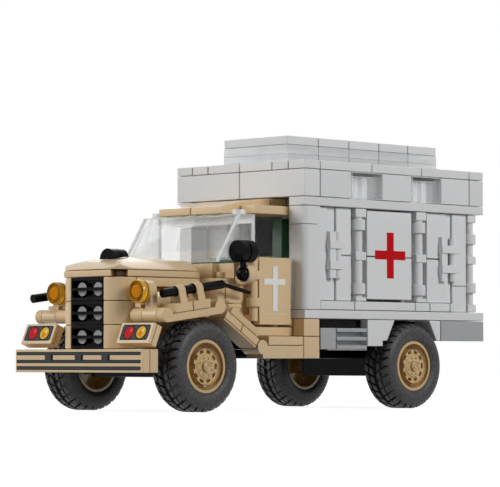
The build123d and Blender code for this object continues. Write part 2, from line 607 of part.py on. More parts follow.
def spot_lamps():
    """The driver's spot lamp; the other side carries none."""
    y = CAB_Y + SPOT_OUT
    lamp_z = SCREEN_BASE_Z + SPOT_RISE
    ball_z = SCREEN_BASE_Z - BALL_DROP
    front_x = SCREEN_X - SPOT_SETBACK
    groove_x = front_x - SPOT_T
    rear_x = groove_x - SPOT_GROOVE - SPOT_T
    lamp = rod((rear_x, y, lamp_z), (front_x, y, lamp_z), SPOT_D)
    shadow = Pos(y, lamp_z) * (Circle(SPOT_D / 2) - Circle(SPOT_D / 2 - SPOT_GROOVE))
    lamp -= front_prism(shadow, (groove_x - SPOT_GROOVE, groove_x))
    lamp += upright(groove_x, y, (ball_z, lamp_z), NECK_D)
    lamp += Pos(groove_x, y, ball_z) * Sphere(BALL_D / 2)
    save("spot_lamps", lamp)
    cup_r = BALL_D / 2 + CLIP_WALL
    cup_x = (groove_x - cup_r + 0.4, groove_x)
    socket = rod((cup_x[0], y, ball_z), (cup_x[1], y, ball_z), 2 * cup_r)
    socket += block(cup_x, (CAB_Y, y), (ball_z - cup_r, ball_z))
    socket -= Pos(groove_x, y, ball_z) * Sphere(BALL_D / 2 + RUN)
    socket -= upright(groove_x, y, (ball_z, ball_z + 2 * cup_r), NECK_D + 2 * ROOM)
    save("lamp_sockets", socket)


def box_shell():
    save("box_floor", block((REAR_X, BOX_X), (-HALF_W, HALF_W), (FLOOR_Z, FLOOR_TOP)))
    bulkhead_x = (BULKHEAD_X - PITCH / 2, BULKHEAD_X)
    bulkhead = block(bulkhead_x, (-WALL_IN, WALL_IN), (FLOOR_TOP, RAIL_TOP))
    hatch_z = (FLOOR_TOP + BRICK + PLATE, RAIL_TOP - 2 * PLATE)
    bulkhead -= block(bulkhead_x, (-HATCH_W / 2, HATCH_W / 2), hatch_z)
    save("box_bulkhead", bulkhead)
    columns = []
    seam_z = WALL_TOP - 2 * PLATE
    for z in ((FLOOR_TOP, seam_z), (seam_z, WALL_TOP)):
        column = block((BULKHEAD_X, BOX_X), (WALL_IN + ROOM, HALF_W), z)
        corner = column.edges().filter_by(Axis.Z).sort_by(lambda edge: edge.center().X + edge.center().Y)[-1]
        columns.extend(both(fillet(corner, COLUMN_R)))
    tail_z = FLOOR_TOP + BRICK
    for z in ((FLOOR_TOP, tail_z), (tail_z, WALL_TOP)):
        columns.extend(both(block((TAIL_X, TAIL_X + PITCH), (WALL_IN, WALL_OUT), z)))
    save("box_columns", *columns)
    rail_z = (WALL_TOP, RAIL_TOP)
    side_rail = block((REAR_X, BOX_X), (WALL_IN + SEAM, HALF_W), rail_z)
    rear_rail = block((REAR_X, TAIL_X), (-WALL_IN, WALL_IN), rail_z)
    save("upper_rails", *both(side_rail), rear_rail)


def wall_stations():
    """Places along the side wall, from the front column to the rear one."""
    first_post = BULKHEAD_X - POST_SETBACK
    first_door = first_post - PITCH + SEAM
    second_post = first_door - SIDE_DOOR_L - 2 * SEAM
    rear_panel = second_post - PITCH
    rear_strip = TAIL_X + PITCH + REAR_STRIP_L
    return first_post, first_door, second_post, rear_panel, rear_strip


def side_walls():
    first_post, first_door, second_post, rear_panel, rear_strip = wall_stations()
    sill_top = FLOOR_TOP + PLATE
    narrow_x, strip_x = [BULKHEAD_X - setback for setback in FRONT_STRIP]
    low_half = (sill_top, WALL_SPLIT - SEAM / 2)
    high_half = (WALL_SPLIT + SEAM / 2, WALL_TOP)
    panels = []
    # Columns: front, rear, outer face, split across the middle
    table = (
        (BULKHEAD_X, narrow_x, WALL_OUT, False),
        (narrow_x, strip_x, WALL_OUT - STRIP_SINK, False),
        (strip_x, first_post, WALL_OUT, True),
        (first_post, first_door, POST_BACK, False),
        (second_post, rear_panel, POST_BACK, False),
        (rear_panel, rear_strip, WALL_OUT, True),
        (rear_strip, TAIL_X + PITCH, WALL_OUT - STRIP_SINK, False),
    )
    for front, rear, outer, halved in table:
        for z in (low_half, high_half) if halved else ((sill_top, WALL_TOP),):
            panels.extend(both(block((rear + SEAM, front), (WALL_IN, outer), z)))
    strip_seams = (BULKHEAD_X, first_post, second_post, rear_panel, rear_strip, TAIL_X + PITCH)
    for front, rear in zip(strip_seams, strip_seams[1:]):
        panels.extend(both(block((rear + SEAM, front), (WALL_IN, HALF_W), (FLOOR_TOP, sill_top))))
    save("wall_panels", *panels)
    side_door(first_post, first_door, sill_top)
    posts = side_posts(sill_top, (first_post, first_door), (second_post, rear_panel))
    save("hinge_posts", *posts, *rear_doors())
    latches = []
    for edge_x, places in ((strip_x, FRONT_LATCH), (rear_strip, REAR_LATCH)):
        latches.extend(both(latch_bar(edge_x + places[0], edge_x + places[1])))
    save("latch_bars", *latches)


def clip_levels(sill_top):
    """Heights of the clips on the side posts."""
    clip_h = 4.0
    lows = (sill_top + 2.4, WALL_TOP - PLATE - 4.6)
    return [(low, low + clip_h) for low in lows]


def side_posts(sill_top, *stations):
    """Door posts of both walls; those behind the doors carry spare clips."""
    posts = []
    half = HINGE_BAR_D / 2 + 2 * ROOM
    hold = 1.6
    levels = (
        (sill_top, sill_top + hold), (WALL_SPLIT - hold, WALL_SPLIT + hold), (WALL_TOP - 2 * hold, WALL_TOP))
    for front, rear in stations:
        bar_x = (front + rear) / 2
        post = upright(bar_x, HINGE_Y, (sill_top, WALL_TOP), HINGE_BAR_D)
        for z in levels:
            post += block((bar_x - half, bar_x + half), (POST_BACK, HINGE_Y + HINGE_BAR_D / 2 + SEAM), z)
        if front != stations[0][0]:
            for z in clip_levels(sill_top):
                post += upright(bar_x, HINGE_Y, z, HINGE_BAR_D + 2 * CLIP_WALL)
        posts.extend(both(post))
    return posts


def side_door(first_post, first_door, sill_top):
    door_x = (first_door - SEAM - SIDE_DOOR_L, first_door - SEAM)
    bar_x = (first_post + first_door) / 2
    radius = HINGE_BAR_D / 2
    low = sill_top + 2 * ROOM
    high = WALL_TOP - ROOM
    leaf_y = (WALL_IN + SEAM, WALL_OUT - PLATE)
    leaf = block(door_x, leaf_y, (low, high))
    for clip_z in clip_levels(sill_top):
        leaf += upright(bar_x, HINGE_Y, clip_z, HINGE_BAR_D + 2 * CLIP_WALL)
        leaf += block((door_x[1], bar_x - radius), (HINGE_Y - radius - ROOM, leaf_y[1]), clip_z)
        leaf -= upright(bar_x, HINGE_Y, clip_z, HINGE_BAR_D + 2 * RUN)
    door = [leaf]
    for z in ((low, WALL_SPLIT - SEAM / 2), (WALL_SPLIT + SEAM / 2, high)):
        door.append(block(door_x, (leaf_y[1], WALL_OUT), z))
    save("side_door_left", *door)
    save("side_door_right", *[piece.mirror(Plane.XZ) for piece in door])


def rear_doors():
    """Save the two rear doors and give back the posts that carry them."""
    bar_x = TAIL_X - REAR_HINGE
    bar_y = HALF_W - REAR_HINGE
    hold = 3.0
    post = upright(bar_x, bar_y, (FLOOR_TOP, WALL_TOP), BAR_D)
    for low in (FLOOR_TOP, WALL_SPLIT - hold / 2, WALL_TOP - hold):
        post += block((bar_x - 2, TAIL_X - SEAM), (bar_y - REAR_HINGE, bar_y + 2), (low, low + hold))
    leaf_y = (SEAM, bar_y - BAR_D / 2 - 2 * CLIP_WALL)
    door = block((bar_x - 2.4, bar_x + 0.8), leaf_y, (FLOOR_TOP + ROOM, WALL_TOP - ROOM))
    clip_h = 4.0
    for low in (FLOOR_TOP + 7, WALL_TOP - 11):
        clip_z = (low, low + clip_h)
        door += upright(bar_x, bar_y, clip_z, BAR_D + 2 * CLIP_WALL)
        door += block((bar_x - 1.2, bar_x + 0.8), (leaf_y[1], bar_y), clip_z)
        door -= upright(bar_x, bar_y, clip_z, BAR_D + 2 * RUN)
    for side, solid in zip(("left", "right"), both(door)):
        save(f"rear_door_{side}", solid)
    return both(post)


def latch_bar(pad_x, bar_x):
    """Upright bar in two clips, with its backing pad, on the left wall."""
    y = (WALL_OUT, HALF_W)
    half_l = LATCH_L / 2
    clip_h = 3.0
    latch = upright(bar_x, HALF_W - BAR_D / 2, (WALL_SPLIT - half_l, WALL_SPLIT + half_l), BAR_D)
    latch &= block((bar_x - BAR_D, bar_x + BAR_D), y, (WALL_SPLIT - LATCH_L, WALL_SPLIT + LATCH_L))
    for low in (WALL_SPLIT - 5.1, WALL_SPLIT + 2.1):
        latch += block((bar_x - 2.6, pad_x + 2), (WALL_OUT, HALF_W + 3 * SEAM), (low, low + clip_h))
    latch += block((pad_x - 1.6, pad_x + 1.6), y, (WALL_SPLIT - half_l, WALL_SPLIT + half_l))
    return latch


def box_top():
    window_l = 2 * PITCH
    z = (RAIL_TOP, BAND_TOP)
    side_y = (WALL_IN, HALF_W)
    half_seam = SEAM / 2
    first = BULKHEAD_X - window_l
    second = first - 2 * window_l
    bricks = []
    for front, rear in ((BULKHEAD_X, first), (first - window_l, second), (second - window_l, TAIL_X)):
        bricks.extend(both(block((rear + half_seam, front - half_seam), side_y, z)))
    for x in ((BULKHEAD_X + half_seam, BOX_X), (REAR_X, TAIL_X - half_seam)):
        bricks.extend(both(block(x, (half_seam, HALF_W), z)))
    save("window_band", *bricks)
    windows = []
    for front in (first, second):
        x = (front - window_l + half_seam, front - half_seam)
        windows.extend(both(clear_brick(x, side_y, z)))
    save("band_windows", *windows)
    deck_z = (BAND_TOP, DECK_TOP)
    inner_y = WALL_IN - half_seam
    deck = [block((TAIL_X + half_seam, BULKHEAD_X - half_seam), (-inner_y, inner_y), deck_z)]
    for x in ((BULKHEAD_X, BOX_X), (REAR_X, TAIL_X)):
        for a, b in ((0, 2), (2, 3), (3, 4)):
            deck.extend(both(block(x, (a * PITCH + half_seam, b * PITCH - half_seam * (b < 4)), deck_z)))
    for x in equal_runs(3):
        deck.extend(both(block(x, (WALL_IN + half_seam, HALF_W), deck_z)))
    save("roof_deck", *deck)
    tier = []
    tiles = []
    tier_y = (-TIER_W / 2, TIER_W / 2)
    for x in equal_runs(round((BULKHEAD_X - TAIL_X) / window_l)):
        for layer in range(TIER_LAYERS):
            low = DECK_TOP + layer * PLATE
            tier.append(clear_brick(x, tier_y, (low, low + PLATE)))
        tiles.append(block(x, tier_y, (TIER_TOP, TIER_TOP + PLATE)))
    save("roof_tier", *tier)
    save("roof_tiles", *tiles)


def clear_brick(x, y, z):
    """See-through brick, open underneath like the real ones."""
    wall = CLEAR_WALL
    room = block((x[0] + wall, x[1] - wall), (y[0] + wall, y[1] - wall), (z[0], z[1] - wall))
    return block(x, y, z) - room


def equal_runs(count):
    """Equal lengths along the box roof, with seams between."""
    length = (BULKHEAD_X - TAIL_X) / count
    runs = []
    for step in range(count):
        rear = TAIL_X + step * length
        runs.append((rear + SEAM / 2, rear + length - SEAM / 2))
    return runs


def skirts():
    y = (HALF_W - PITCH, HALF_W)
    back_y = (y[0], y[1] - SLAT_GAP)
    arch_low = FRAME_Z + 3.1
    half_low = TYRE_D / 2 - 1.9
    half_high = TYRE_D / 2 - 6.0
    foot_l = 2.3
    vent_front = BULKHEAD_X - PITCH
    vent_rear = vent_front - 2 * PITCH
    arch_front = REAR_AXLE_X + half_low
    arch_rear = REAR_AXLE_X - half_low
    front_arch = outline(
        (vent_rear - SEAM, arch_low - 2), (vent_rear - SEAM, FLOOR_Z), (REAR_AXLE_X + half_high, FLOOR_Z),
        (arch_front, arch_low), (arch_front + foot_l, arch_low), (arch_front + foot_l, arch_low - 2))
    rear_arch = outline(
        (REAR_AXLE_X - half_high, FLOOR_Z), (arch_rear, arch_low), (arch_rear - foot_l, arch_low),
        (arch_rear - foot_l, FLOOR_Z))
    save("skirt_arches", *both(side_prism(front_arch, y)), *both(side_prism(rear_arch, y)))
    vent_top = FLOOR_Z - SLAT_GAP
    front_block = block((vent_front, BULKHEAD_X), y, (FRAME_Z, vent_top))
    rear_block = block((REAR_X, arch_rear - foot_l - SEAM), y, (arch_low, FLOOR_Z))
    save("skirt_blocks", *both(front_block), *both(rear_block))
    vent_x = (vent_rear, vent_front - SEAM)
    vent = block(vent_x, back_y, (FRAME_Z, vent_top))
    slat = PLATE / 2
    for low in (FRAME_Z, (FRAME_Z + vent_top - slat) / 2, vent_top - slat):
        vent += block(vent_x, (back_y[1], y[1]), (low, low + slat))
    save("vent_grilles", *both(vent))


os.makedirs("parts", exist_ok=True)
chassis()
wheels()
bumper()
radiator()
hood()
headlights()
signal_boxes()
fenders()
running_boards()
cab()
windscreen()
cab_roof()
spot_lamps()
box_shell()
side_walls()
box_top()
skirts()
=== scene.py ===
"""Looks of a brick-built field ambulance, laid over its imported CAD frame."""
import json
from math import cos, pi, radians, sin

import bmesh
import bpy
from bpy.props import FloatProperty, IntProperty, PointerProperty, StringProperty
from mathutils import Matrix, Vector
from mathutils.bvhtree import BVHTree


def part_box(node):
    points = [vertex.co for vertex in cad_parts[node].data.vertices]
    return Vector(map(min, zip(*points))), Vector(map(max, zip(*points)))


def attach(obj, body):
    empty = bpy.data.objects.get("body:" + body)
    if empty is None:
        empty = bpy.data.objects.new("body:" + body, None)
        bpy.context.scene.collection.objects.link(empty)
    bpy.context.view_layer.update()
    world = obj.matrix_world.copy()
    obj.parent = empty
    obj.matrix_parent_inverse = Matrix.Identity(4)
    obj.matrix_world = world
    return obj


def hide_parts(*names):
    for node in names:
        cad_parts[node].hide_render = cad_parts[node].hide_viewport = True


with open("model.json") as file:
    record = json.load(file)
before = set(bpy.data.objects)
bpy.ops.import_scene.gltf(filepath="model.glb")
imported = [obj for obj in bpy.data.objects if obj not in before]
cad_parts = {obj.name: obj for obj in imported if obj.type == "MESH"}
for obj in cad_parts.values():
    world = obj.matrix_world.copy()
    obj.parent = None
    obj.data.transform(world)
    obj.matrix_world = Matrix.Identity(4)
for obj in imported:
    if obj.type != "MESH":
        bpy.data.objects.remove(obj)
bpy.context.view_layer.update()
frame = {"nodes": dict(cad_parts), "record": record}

bl_info = {
    "name": "Brick-built ambulance",
    "version": (1, 0, 0),
    "blender": (4, 5, 0),
    "location": "View3D > Sidebar > Ambulance",
    "description": "Moulded bricks, treaded tyres, printed stripes and crosses, and a studio for the truck",
    "category": "Object",
}

MM = 0.001
BODY_OF = {node: body for body, nodes in frame["record"]["behaviour"]["bodies"].items() for node in nodes}
SLOT_OF = {row["node"]: row["material_slot"] for row in frame["record"]["subparts"]}

# How a CAD solid becomes a moulded brick.
WELD = 0.0001 * MM      # points nearer than this are one
FLAT_ANGLE = 0.5        # degrees up to which neighbouring faces are one
SHARP_ANGLE = 28.0      # degrees from which an edge is rounded
SET_BACK_LIMIT = 2.0    # most that a corner stands back, in gaps
EDGE_STEPS = 2
TONE_STEP = 0.618034    # golden ratio, which spreads the tones evenly
NAME_TONE = 0.37        # tone that each letter of a node's name adds

# Nodes that keep their CAD shape and get moulded edges, by the operator that makes them.
RUNNING_GEAR = ("chassis_frame", "body_bearers", "front_axle", "rear_axle")
NOSE = ("radiator_corners", "hood_sides", "hood_band", "hood_crown", "hood_vent",
        "signal_boxes", "fenders", "running_boards", "tool_handles", "headlight_holders")
CAB = ("cab_floor", "cab_roof", "cab_seats", "cab_sills", "cab_walls", "cowl", "door_hinge_bars",
       "cab_door_left", "cab_door_right", "lamp_sockets", "spot_lamps")
BOX = ("box_bulkhead", "box_columns", "box_floor", "hinge_posts", "latch_bars", "rear_door_left",
       "rear_door_right", "roof_deck", "roof_tiles", "side_door_left", "side_door_right", "skirt_arches",
       "skirt_blocks", "vent_grilles", "upper_rails", "wall_panels", "window_band")
WHEELS = ("front_left", "front_right", "rear_left", "rear_right")

# Tyre section from its bead to its middle, in mm: radius, distance from the middle plane, depth of the
# grooves between lugs, and depth of the grooves round the tyre.
TYRE_ROWS = (
    (9.05, 4.80, 0.00, 0.00),
    (9.05, 5.45, 0.00, 0.00),
    (9.60, 5.98, 0.00, 0.00),
    (10.60, 6.30, 0.00, 0.00),
    (11.80, 6.40, 0.00, 0.00),
    (12.80, 6.28, 0.00, 0.00),
    (13.50, 5.98, 0.00, 0.00),
    (14.00, 5.62, 0.00, 0.00),
    (14.55, 5.12, 0.50, 0.00),
    (14.95, 4.55, 0.90, 0.00),
    (15.20, 3.90, 1.15, 0.00),
    (15.20, 3.10, 1.25, 0.00),
    (15.20, 2.95, 1.25, 0.90),
    (15.20, 2.50, 1.25, 0.90),
    (15.20, 2.35, 1.25, 0.00),
    (15.20, 0.80, 1.20, 0.00),
    (15.20, 0.60, 1.20, 1.20),
)
# Columns of one lug, as shares of its pitch. The two rows of lugs are half a pitch apart.
LUG_COLUMNS = (0.00, 0.05, 0.26, 0.31, 0.50, 0.55, 0.76, 0.81)
LUG_GROOVE = ((1, 2), (5, 6))
LUG_SWEEP = 11.0        # degrees that a lug turns from the middle to its shoulder
LUG_REACH = 6.0         # mm from the middle to the shoulder
TREAD_CREASE = 38.0     # degrees from which an edge of the tread stays sharp

# Bolt head, in bolt radii, and boss rings, in mm: radius and rise above the wheel's boss.
BOLT_ROWS = ((1.0, -0.3), (1.0, 0.3), (0.75, 0.8), (0.35, 1.0))
BOSS_ROWS = ((1.84, 0.05), (1.84, 0.66), (1.74, 0.78), (1.50, 0.78), (1.42, 0.68), (1.40, 0.52), (1.08, 0.52),
             (1.06, 0.68), (0.98, 0.78), (0.72, 0.78), (0.64, 0.68), (0.62, 0.52), (0.38, 0.52), (0.30, 0.74))
BOLT_STEPS = 12
BOSS_STEPS = 40
BOLT_TONE = -0.6
BOSS_DEPTH = 0.5        # mm from the rim's outer face to its boss

# Grille studs: how far behind the grille's front they end, in mm, and the least X of a normal that faces
# forward.
# Their forward faces get a grey painted reflection.
GRILLE_STUDS = (1.2, 2.0)
FACES_FRONT = 0.9

# Headlight lens from its back to its middle, in mm: radius, distance behind the front, number of the finish.
LENS_STEPS = 64
LENS_CREASE = 20.0      # degrees from which an edge of the lens stays sharp
# Finish 2 is that darker amber, painted into the grooves as shade.
LENS_ROWS = (
    (3.90, 3.12, 0),
    (3.92, 2.40, 0),
    (3.66, 2.15, 2),
    (3.92, 1.90, 2),
    (3.92, 0.80, 0),
    (3.72, 0.25, 0),
    (3.50, 0.06, 0),
    (3.32, 0.25, 0),
    (3.22, 0.85, 2),
    (3.08, 0.85, 2),
    (2.98, 0.25, 2),
    (2.84, 0.10, 0),
    (2.70, 0.30, 0),
    (2.62, 1.05, 2),
    (2.48, 1.05, 2),
    (2.40, 0.45, 1),
    (2.26, 0.22, 1),
    (0.60, 0.12, 1),
)

# Printed shapes, in mm: bumper stripes by Z, dividers by Y, crosses by X and Z. An ink has its foot and top,
# in ink layers, and the number of its finish.
CORNER_STEPS = 5
ROUND_STEPS = 40
STRIPES = ((18.95, 20.05), (16.30, 17.40), (14.00, 15.25))
STRIPE_Y = (-31.2, 30.8)
STRIPE_SINK = 2         # ink layers that the bumper's front stands back under its stripes
STRIPE_INSET = 0.22     # black outline round the grey
STRIPE_BED = (0.3, -0.5, 1, 0)          # corner radius and ink
STRIPE_FILL = (0.2, 0.5, 1.6, 1)
DIVIDERS = ((-16.6, -13.6, -12.5), (-1.4, 1.6, 2.7), (11.8, 14.8, 15.9))
DIVIDER_LAP = 0.15      # divider over the stripes beside it
DIVIDER_BED = (0.15, -0.5, 0.9, 0)
DIVIDER_BED_LAP = 0.2   # black part under the grey one
DIVIDER_FILL = (0.1, 0.6, 1.8, 1)
DIVIDER_FILL_LAP = 0.3
CROSS_INK = (-0.5, 1)
CAB_CROSS = ((18.4, 20.7, 34.1, 49.5), (14.6, 25.0, 43.1, 45.2))
CAB_LINE = (14.1, 25.2, 32.9, 33.2)
SIDE_CROSS = ((-37.9, -34.2, 46.4, 62.8), (-44.1, -27.9, 53.1, 56.3))

# Signal panels, on their own leaning face: plates by two corners, corner radius and ink, and discs by centre,
# radius, stretch upwards and ink.
SIGNAL_LEAN = 23.0      # degrees that the panels lean back
SIGNAL_PLATES = (
    ((-6.7, 1.2), (6.7, 6.7), 0.9, -0.5, 0.7, 0),
    ((-6.35, 1.55), (6.35, 6.35), 0.7, 0.4, 1.0, 1),
)
SIGNAL_DISCS = (
    ((-2.9, 3.95), 2.60, 1.0, 0.7, 1.3, 0),
    ((-2.9, 3.95), 2.15, 1.0, 1.0, 1.6, 2),
    ((-2.2, 4.70), 0.50, 1.5, 1.4, 1.9, 4),
    ((2.9, 3.95), 2.60, 1.0, 0.7, 1.3, 0),
    ((2.9, 3.95), 2.15, 1.0, 1.0, 1.6, 3),
    ((3.6, 4.70), 0.50, 1.5, 1.4, 1.9, 5),
    ((2.6, 3.40), 0.70, 1.2, 1.4, 1.8, 6),
)
LOWER_FIRST = 0.01      # share of Z that picks the lower of two front corners

# Clear pieces, in mm.
NARROW_FACE = 1.7       # faces narrower than this shine as a pane's edges
TIER_GAP = 0.02         # clear plates press close, so their seams stay bright
PITCH = 8.0             # stud to stud
SCREEN_CAP = 1.7        # windscreen's top to the head of its edge bars
BAR_X = (0.2, 1.2)      # edge bar's two faces inside the windscreen's front or rear
BAR_Y = (0.15, 1.1)     # edge bar's two faces inside the windscreen's side
BAR_END = 0.15
BAR_EDGE = 0.12
INNER_ROOM = 0.1        # inner piece to the floor that it stands on
TIER_ROWS = 4           # studs across a plate of the roof tier
STUD_STEPS = 24
STUD_ROWS = ((2.4, 0.0), (2.4, 1.2), (2.2, 1.4))        # radius and rise
WINDOW_WALL = 1.75
# White ribs in a band window: shares of its length where one starts and ends, and its depth.
WINDOW_RIBS = ((0.0, 1.0, 0.6), (0.26, 0.40, 2.6), (0.72, 0.76, 1.2), (0.9, 0.96, 2.0))
SLAB_EDGE = 0.1

# The camera that matches the photograph, in metres.
CAMERA_PLACE = (0.67605, 0.66702, 0.01756)
CAMERA_WAY = (-0.70878, -0.70410, 0.04333)
CAMERA_LENS = 192.3
SENSOR_W = 36.0
CLIP_START = 0.01

# Studio: each lamp's name, place and size in metres, and watts.
LAMPS = (
    ("front_softbox", (1.00, -0.62, 0.60), 0.8, 11.4),
    ("side_softbox", (-0.20, 1.10, 0.62), 0.4, 8.2),
    ("rear_softbox", (-1.05, -0.75, 0.75), 0.9, 4.0),
)
LAMP_AIM = (0, 0, 0.045)
FLOOR_SIZE = 1.0        # half the floor's width, in metres
FLOOR_DROP = 0.02       # floor under the tyres, in mm
FLOOR_LIFT = 0.88       # light that the camera sees on the floor
SURROUND_FILL = 0.06    # light of the surround where nothing looks at it


class AmbulanceSizes(bpy.types.PropertyGroup):
    """Sizes of the details that the CAD frame doesn't carry."""

    edge: FloatProperty(
        name="Brick edge", description="Rounding of a moulded brick's edges",
        default=0.28 * MM, min=0, unit="LENGTH", precision=5)
    gap: FloatProperty(
        name="Gap", description="How far a brick's faces stand back, so that seams show",
        default=0.10 * MM, min=0, unit="LENGTH", precision=5)
    fine_edge: FloatProperty(
        name="Fine edge", description="Rounding on the wheel rims, the lamps and the roof tier",
        default=0.12 * MM, min=0, unit="LENGTH", precision=5)
    ink: FloatProperty(
        name="Ink", description="Thickness of one printed layer",
        default=0.03 * MM, min=0, unit="LENGTH", precision=6)
    lugs: IntProperty(
        name="Lugs", description="Lugs in each of a tyre's two rows", default=30, min=8, max=60)
    bolts: IntProperty(
        name="Bolts", description="Bolts round a wheel's boss", default=8, min=0, max=16)
    bolt_ring: FloatProperty(
        name="Bolt ring", description="Radius of the ring of bolts",
        default=2.95 * MM, min=0, unit="LENGTH", precision=5)
    bolt: FloatProperty(
        name="Bolt", description="Radius of one bolt's head",
        default=0.32 * MM, min=0, unit="LENGTH", precision=5)


class AmbulanceColours(bpy.types.PropertyGroup):
    """Colours of the finishes, as sRGB hex values."""

    tan: StringProperty(name="Tan", description="Cab, nose and fenders", default="#DDC197")
    rim: StringProperty(name="Rim", description="Wheel rims", default="#CBAA72")
    white: StringProperty(name="White", description="Box, its doors and its roof", default="#E5E6E7")
    grey: StringProperty(name="Grey", description="Skirt blocks and vents", default="#A9ABAE")
    black: StringProperty(name="Black", description="Chassis, grille, lamps and handles", default="#0A0A0B")
    # Grey painted on the black grille studs' flat faces as their reflection of the bright surround.
    stud: StringProperty(name="Stud", description="Grille studs, grey as a painted reflection", default="#A2A4A6")
    green: StringProperty(name="Green", description="Seats", default="#17552F")
    rubber: StringProperty(name="Rubber", description="Tyres", default="#2B292A")
    clear: StringProperty(name="Clear", description="Windscreen, roof lights and windows", default="#F4F8F8")
    lens: StringProperty(name="Lens", description="Clear rim of a headlight", default="#F2BC00")
    lens_heart: StringProperty(name="Lens heart", description="Inner disc of a headlight", default="#D08206")
    # Darker amber painted into the headlight's grooves as shade.
    lens_groove: StringProperty(name="Lens painted shade", description="Painted shade in a headlight's grooves", default="#8A5C00")
    red: StringProperty(name="Red", description="Side crosses and stop lamps", default="#C4101A")
    amber: StringProperty(name="Amber", description="Printed turn lamps", default="#EDB32C")
    pale_red: StringProperty(name="Pale red", description="Printed glint on red", default="#E25A55")
    pale_amber: StringProperty(name="Pale amber", description="Printed glint on amber", default="#F7DD8A")
    deep_amber: StringProperty(name="Deep amber", description="Printed shade on amber", default="#D9841A")
    cross: StringProperty(name="Cross", description="Printed white crosses", default="#F2F2F0")
    line: StringProperty(name="Line", description="Printed pale lines", default="#EADCC0")
    stripe: StringProperty(name="Stripe", description="Printed dark grey", default="#404346")
    outline: StringProperty(name="Outline", description="Printed black", default="#0C0C0D")
    floor: StringProperty(name="Floor", description="Studio floor", default="#B4B4B4")


def linear(code):
    """Linear colour of an sRGB hex value."""
    shares = [int(code[start:start + 2], 16) / 255 for start in (1, 3, 5)]
    return (*[s / 12.92 if s <= 0.04045 else ((s + 0.055) / 1.055) ** 2.4 for s in shares], 1.0)


def add_node(material, kind, inputs=None, **settings):
    """Add a node with its settings. Each input takes a value, or a link from another node's output."""
    node = material.node_tree.nodes.new(kind)
    for name, value in settings.items():
        setattr(node, name, value)
    for name, value in (inputs or {}).items():
        if isinstance(value, bpy.types.NodeSocket):
            material.node_tree.links.new(value, node.inputs[name])
        else:
            node.inputs[name].default_value = value
    return node


def bare_material(name):
    """An empty node material, or None where it already exists."""
    if name in bpy.data.materials:
        return None
    material = bpy.data.materials.new(name)
    material.use_nodes = True
    material.node_tree.nodes.clear()
    return material


def noise(material, size, detail=2.0):
    """Noise on a piece's own coordinates, about as coarse as a size in mm."""
    place = add_node(material, "ShaderNodeTexCoord").outputs["Object"]
    pattern = add_node(
        material, "ShaderNodeTexNoise", {"Vector": place, "Scale": 1 / (size * MM), "Detail": detail})
    return pattern.outputs["Fac"]


def spread(material, value, low, high):
    """A value from zero to one, spread from low to high."""
    scaled = add_node(material, "ShaderNodeMapRange", {"Value": value, "To Min": low, "To Max": high})
    return scaled.outputs["Result"]


def moulded_abs(name, code, roughness, level):
    """ABS moulded in polished steel: an even colour that differs slightly from brick to brick, faint flow
    clouds, a soft sheen and a very fine grain that breaks up the reflections."""
    material = bare_material(name)
    if material is None:
        return bpy.data.materials[name]
    brick = add_node(material, "ShaderNodeAttribute", attribute_name="tone").outputs["Fac"]
    # Flow clouds are about 14 mm across, as the plastic spreads from a brick's gate.
    flow = noise(material, 14, detail=3.0)
    # Real mould grain is about 0.03 mm. It is drawn at 0.35 mm so that it shows.
    grain = noise(material, 0.35)
    # Bricks differ by 3 % and clouds by 2 %.
    shade = add_node(material, "ShaderNodeMath", {0: brick, 1: 0.03, 2: 0.99}, operation="MULTIPLY_ADD")
    cloud = add_node(
        material, "ShaderNodeMath", {0: flow, 1: 0.02, 2: shade.outputs[0]}, operation="MULTIPLY_ADD")
    colour = add_node(material, "ShaderNodeHueSaturation", {"Value": cloud.outputs[0], "Color": linear(code)})
    sheen = spread(material, flow, roughness - 0.03, roughness + 0.03)
    bump = add_node(material, "ShaderNodeBump", {"Height": grain, "Strength": 0.10, "Distance": 0.02 * MM})
    shader = add_node(
        material, "ShaderNodeBsdfPrincipled",
        {"Base Color": colour.outputs["Color"], "Roughness": sheen, "IOR": 1.53,
         "Specular IOR Level": level, "Normal": bump.outputs["Normal"]})
    add_node(material, "ShaderNodeOutputMaterial", {"Surface": shader.outputs["BSDF"]})
    return material


def moulded_rubber(name, code):
    """Soft rubber from a spark-eroded mould: matt and nearly black, with a coarse grain whose tips catch
    the light as small grey specks."""
    material = bare_material(name)
    if material is None:
        return bpy.data.materials[name]
    # The grain is about 0.2 mm on the real side wall and 0.7 mm here, so that it shows.
    grain = noise(material, 0.7, detail=3.0)
    # Dust lies in patches of about 6 mm.
    dust = noise(material, 6)
    speck = add_node(
        material, "ShaderNodeMapRange",
        {"Value": grain, "From Min": 0.42, "From Max": 0.70, "To Min": 0.2, "To Max": 2.4})
    lightening = add_node(
        material, "ShaderNodeMath", {0: dust, 1: 0.35, 2: speck.outputs["Result"]}, operation="MULTIPLY_ADD")
    colour = add_node(material, "ShaderNodeHueSaturation", {"Value": lightening.outputs[0], "Color": linear(code)})
    rough = spread(material, dust, 0.42, 0.58)
    bump = add_node(material, "ShaderNodeBump", {"Height": grain, "Strength": 0.8, "Distance": 0.16 * MM})
    shader = add_node(
        material, "ShaderNodeBsdfPrincipled",
        {"Base Color": colour.outputs["Color"], "Roughness": rough, "IOR": 1.5,
         "Specular IOR Level": 0.4, "Normal": bump.outputs["Normal"]})
    add_node(material, "ShaderNodeOutputMaterial", {"Surface": shader.outputs["BSDF"]})
    return material


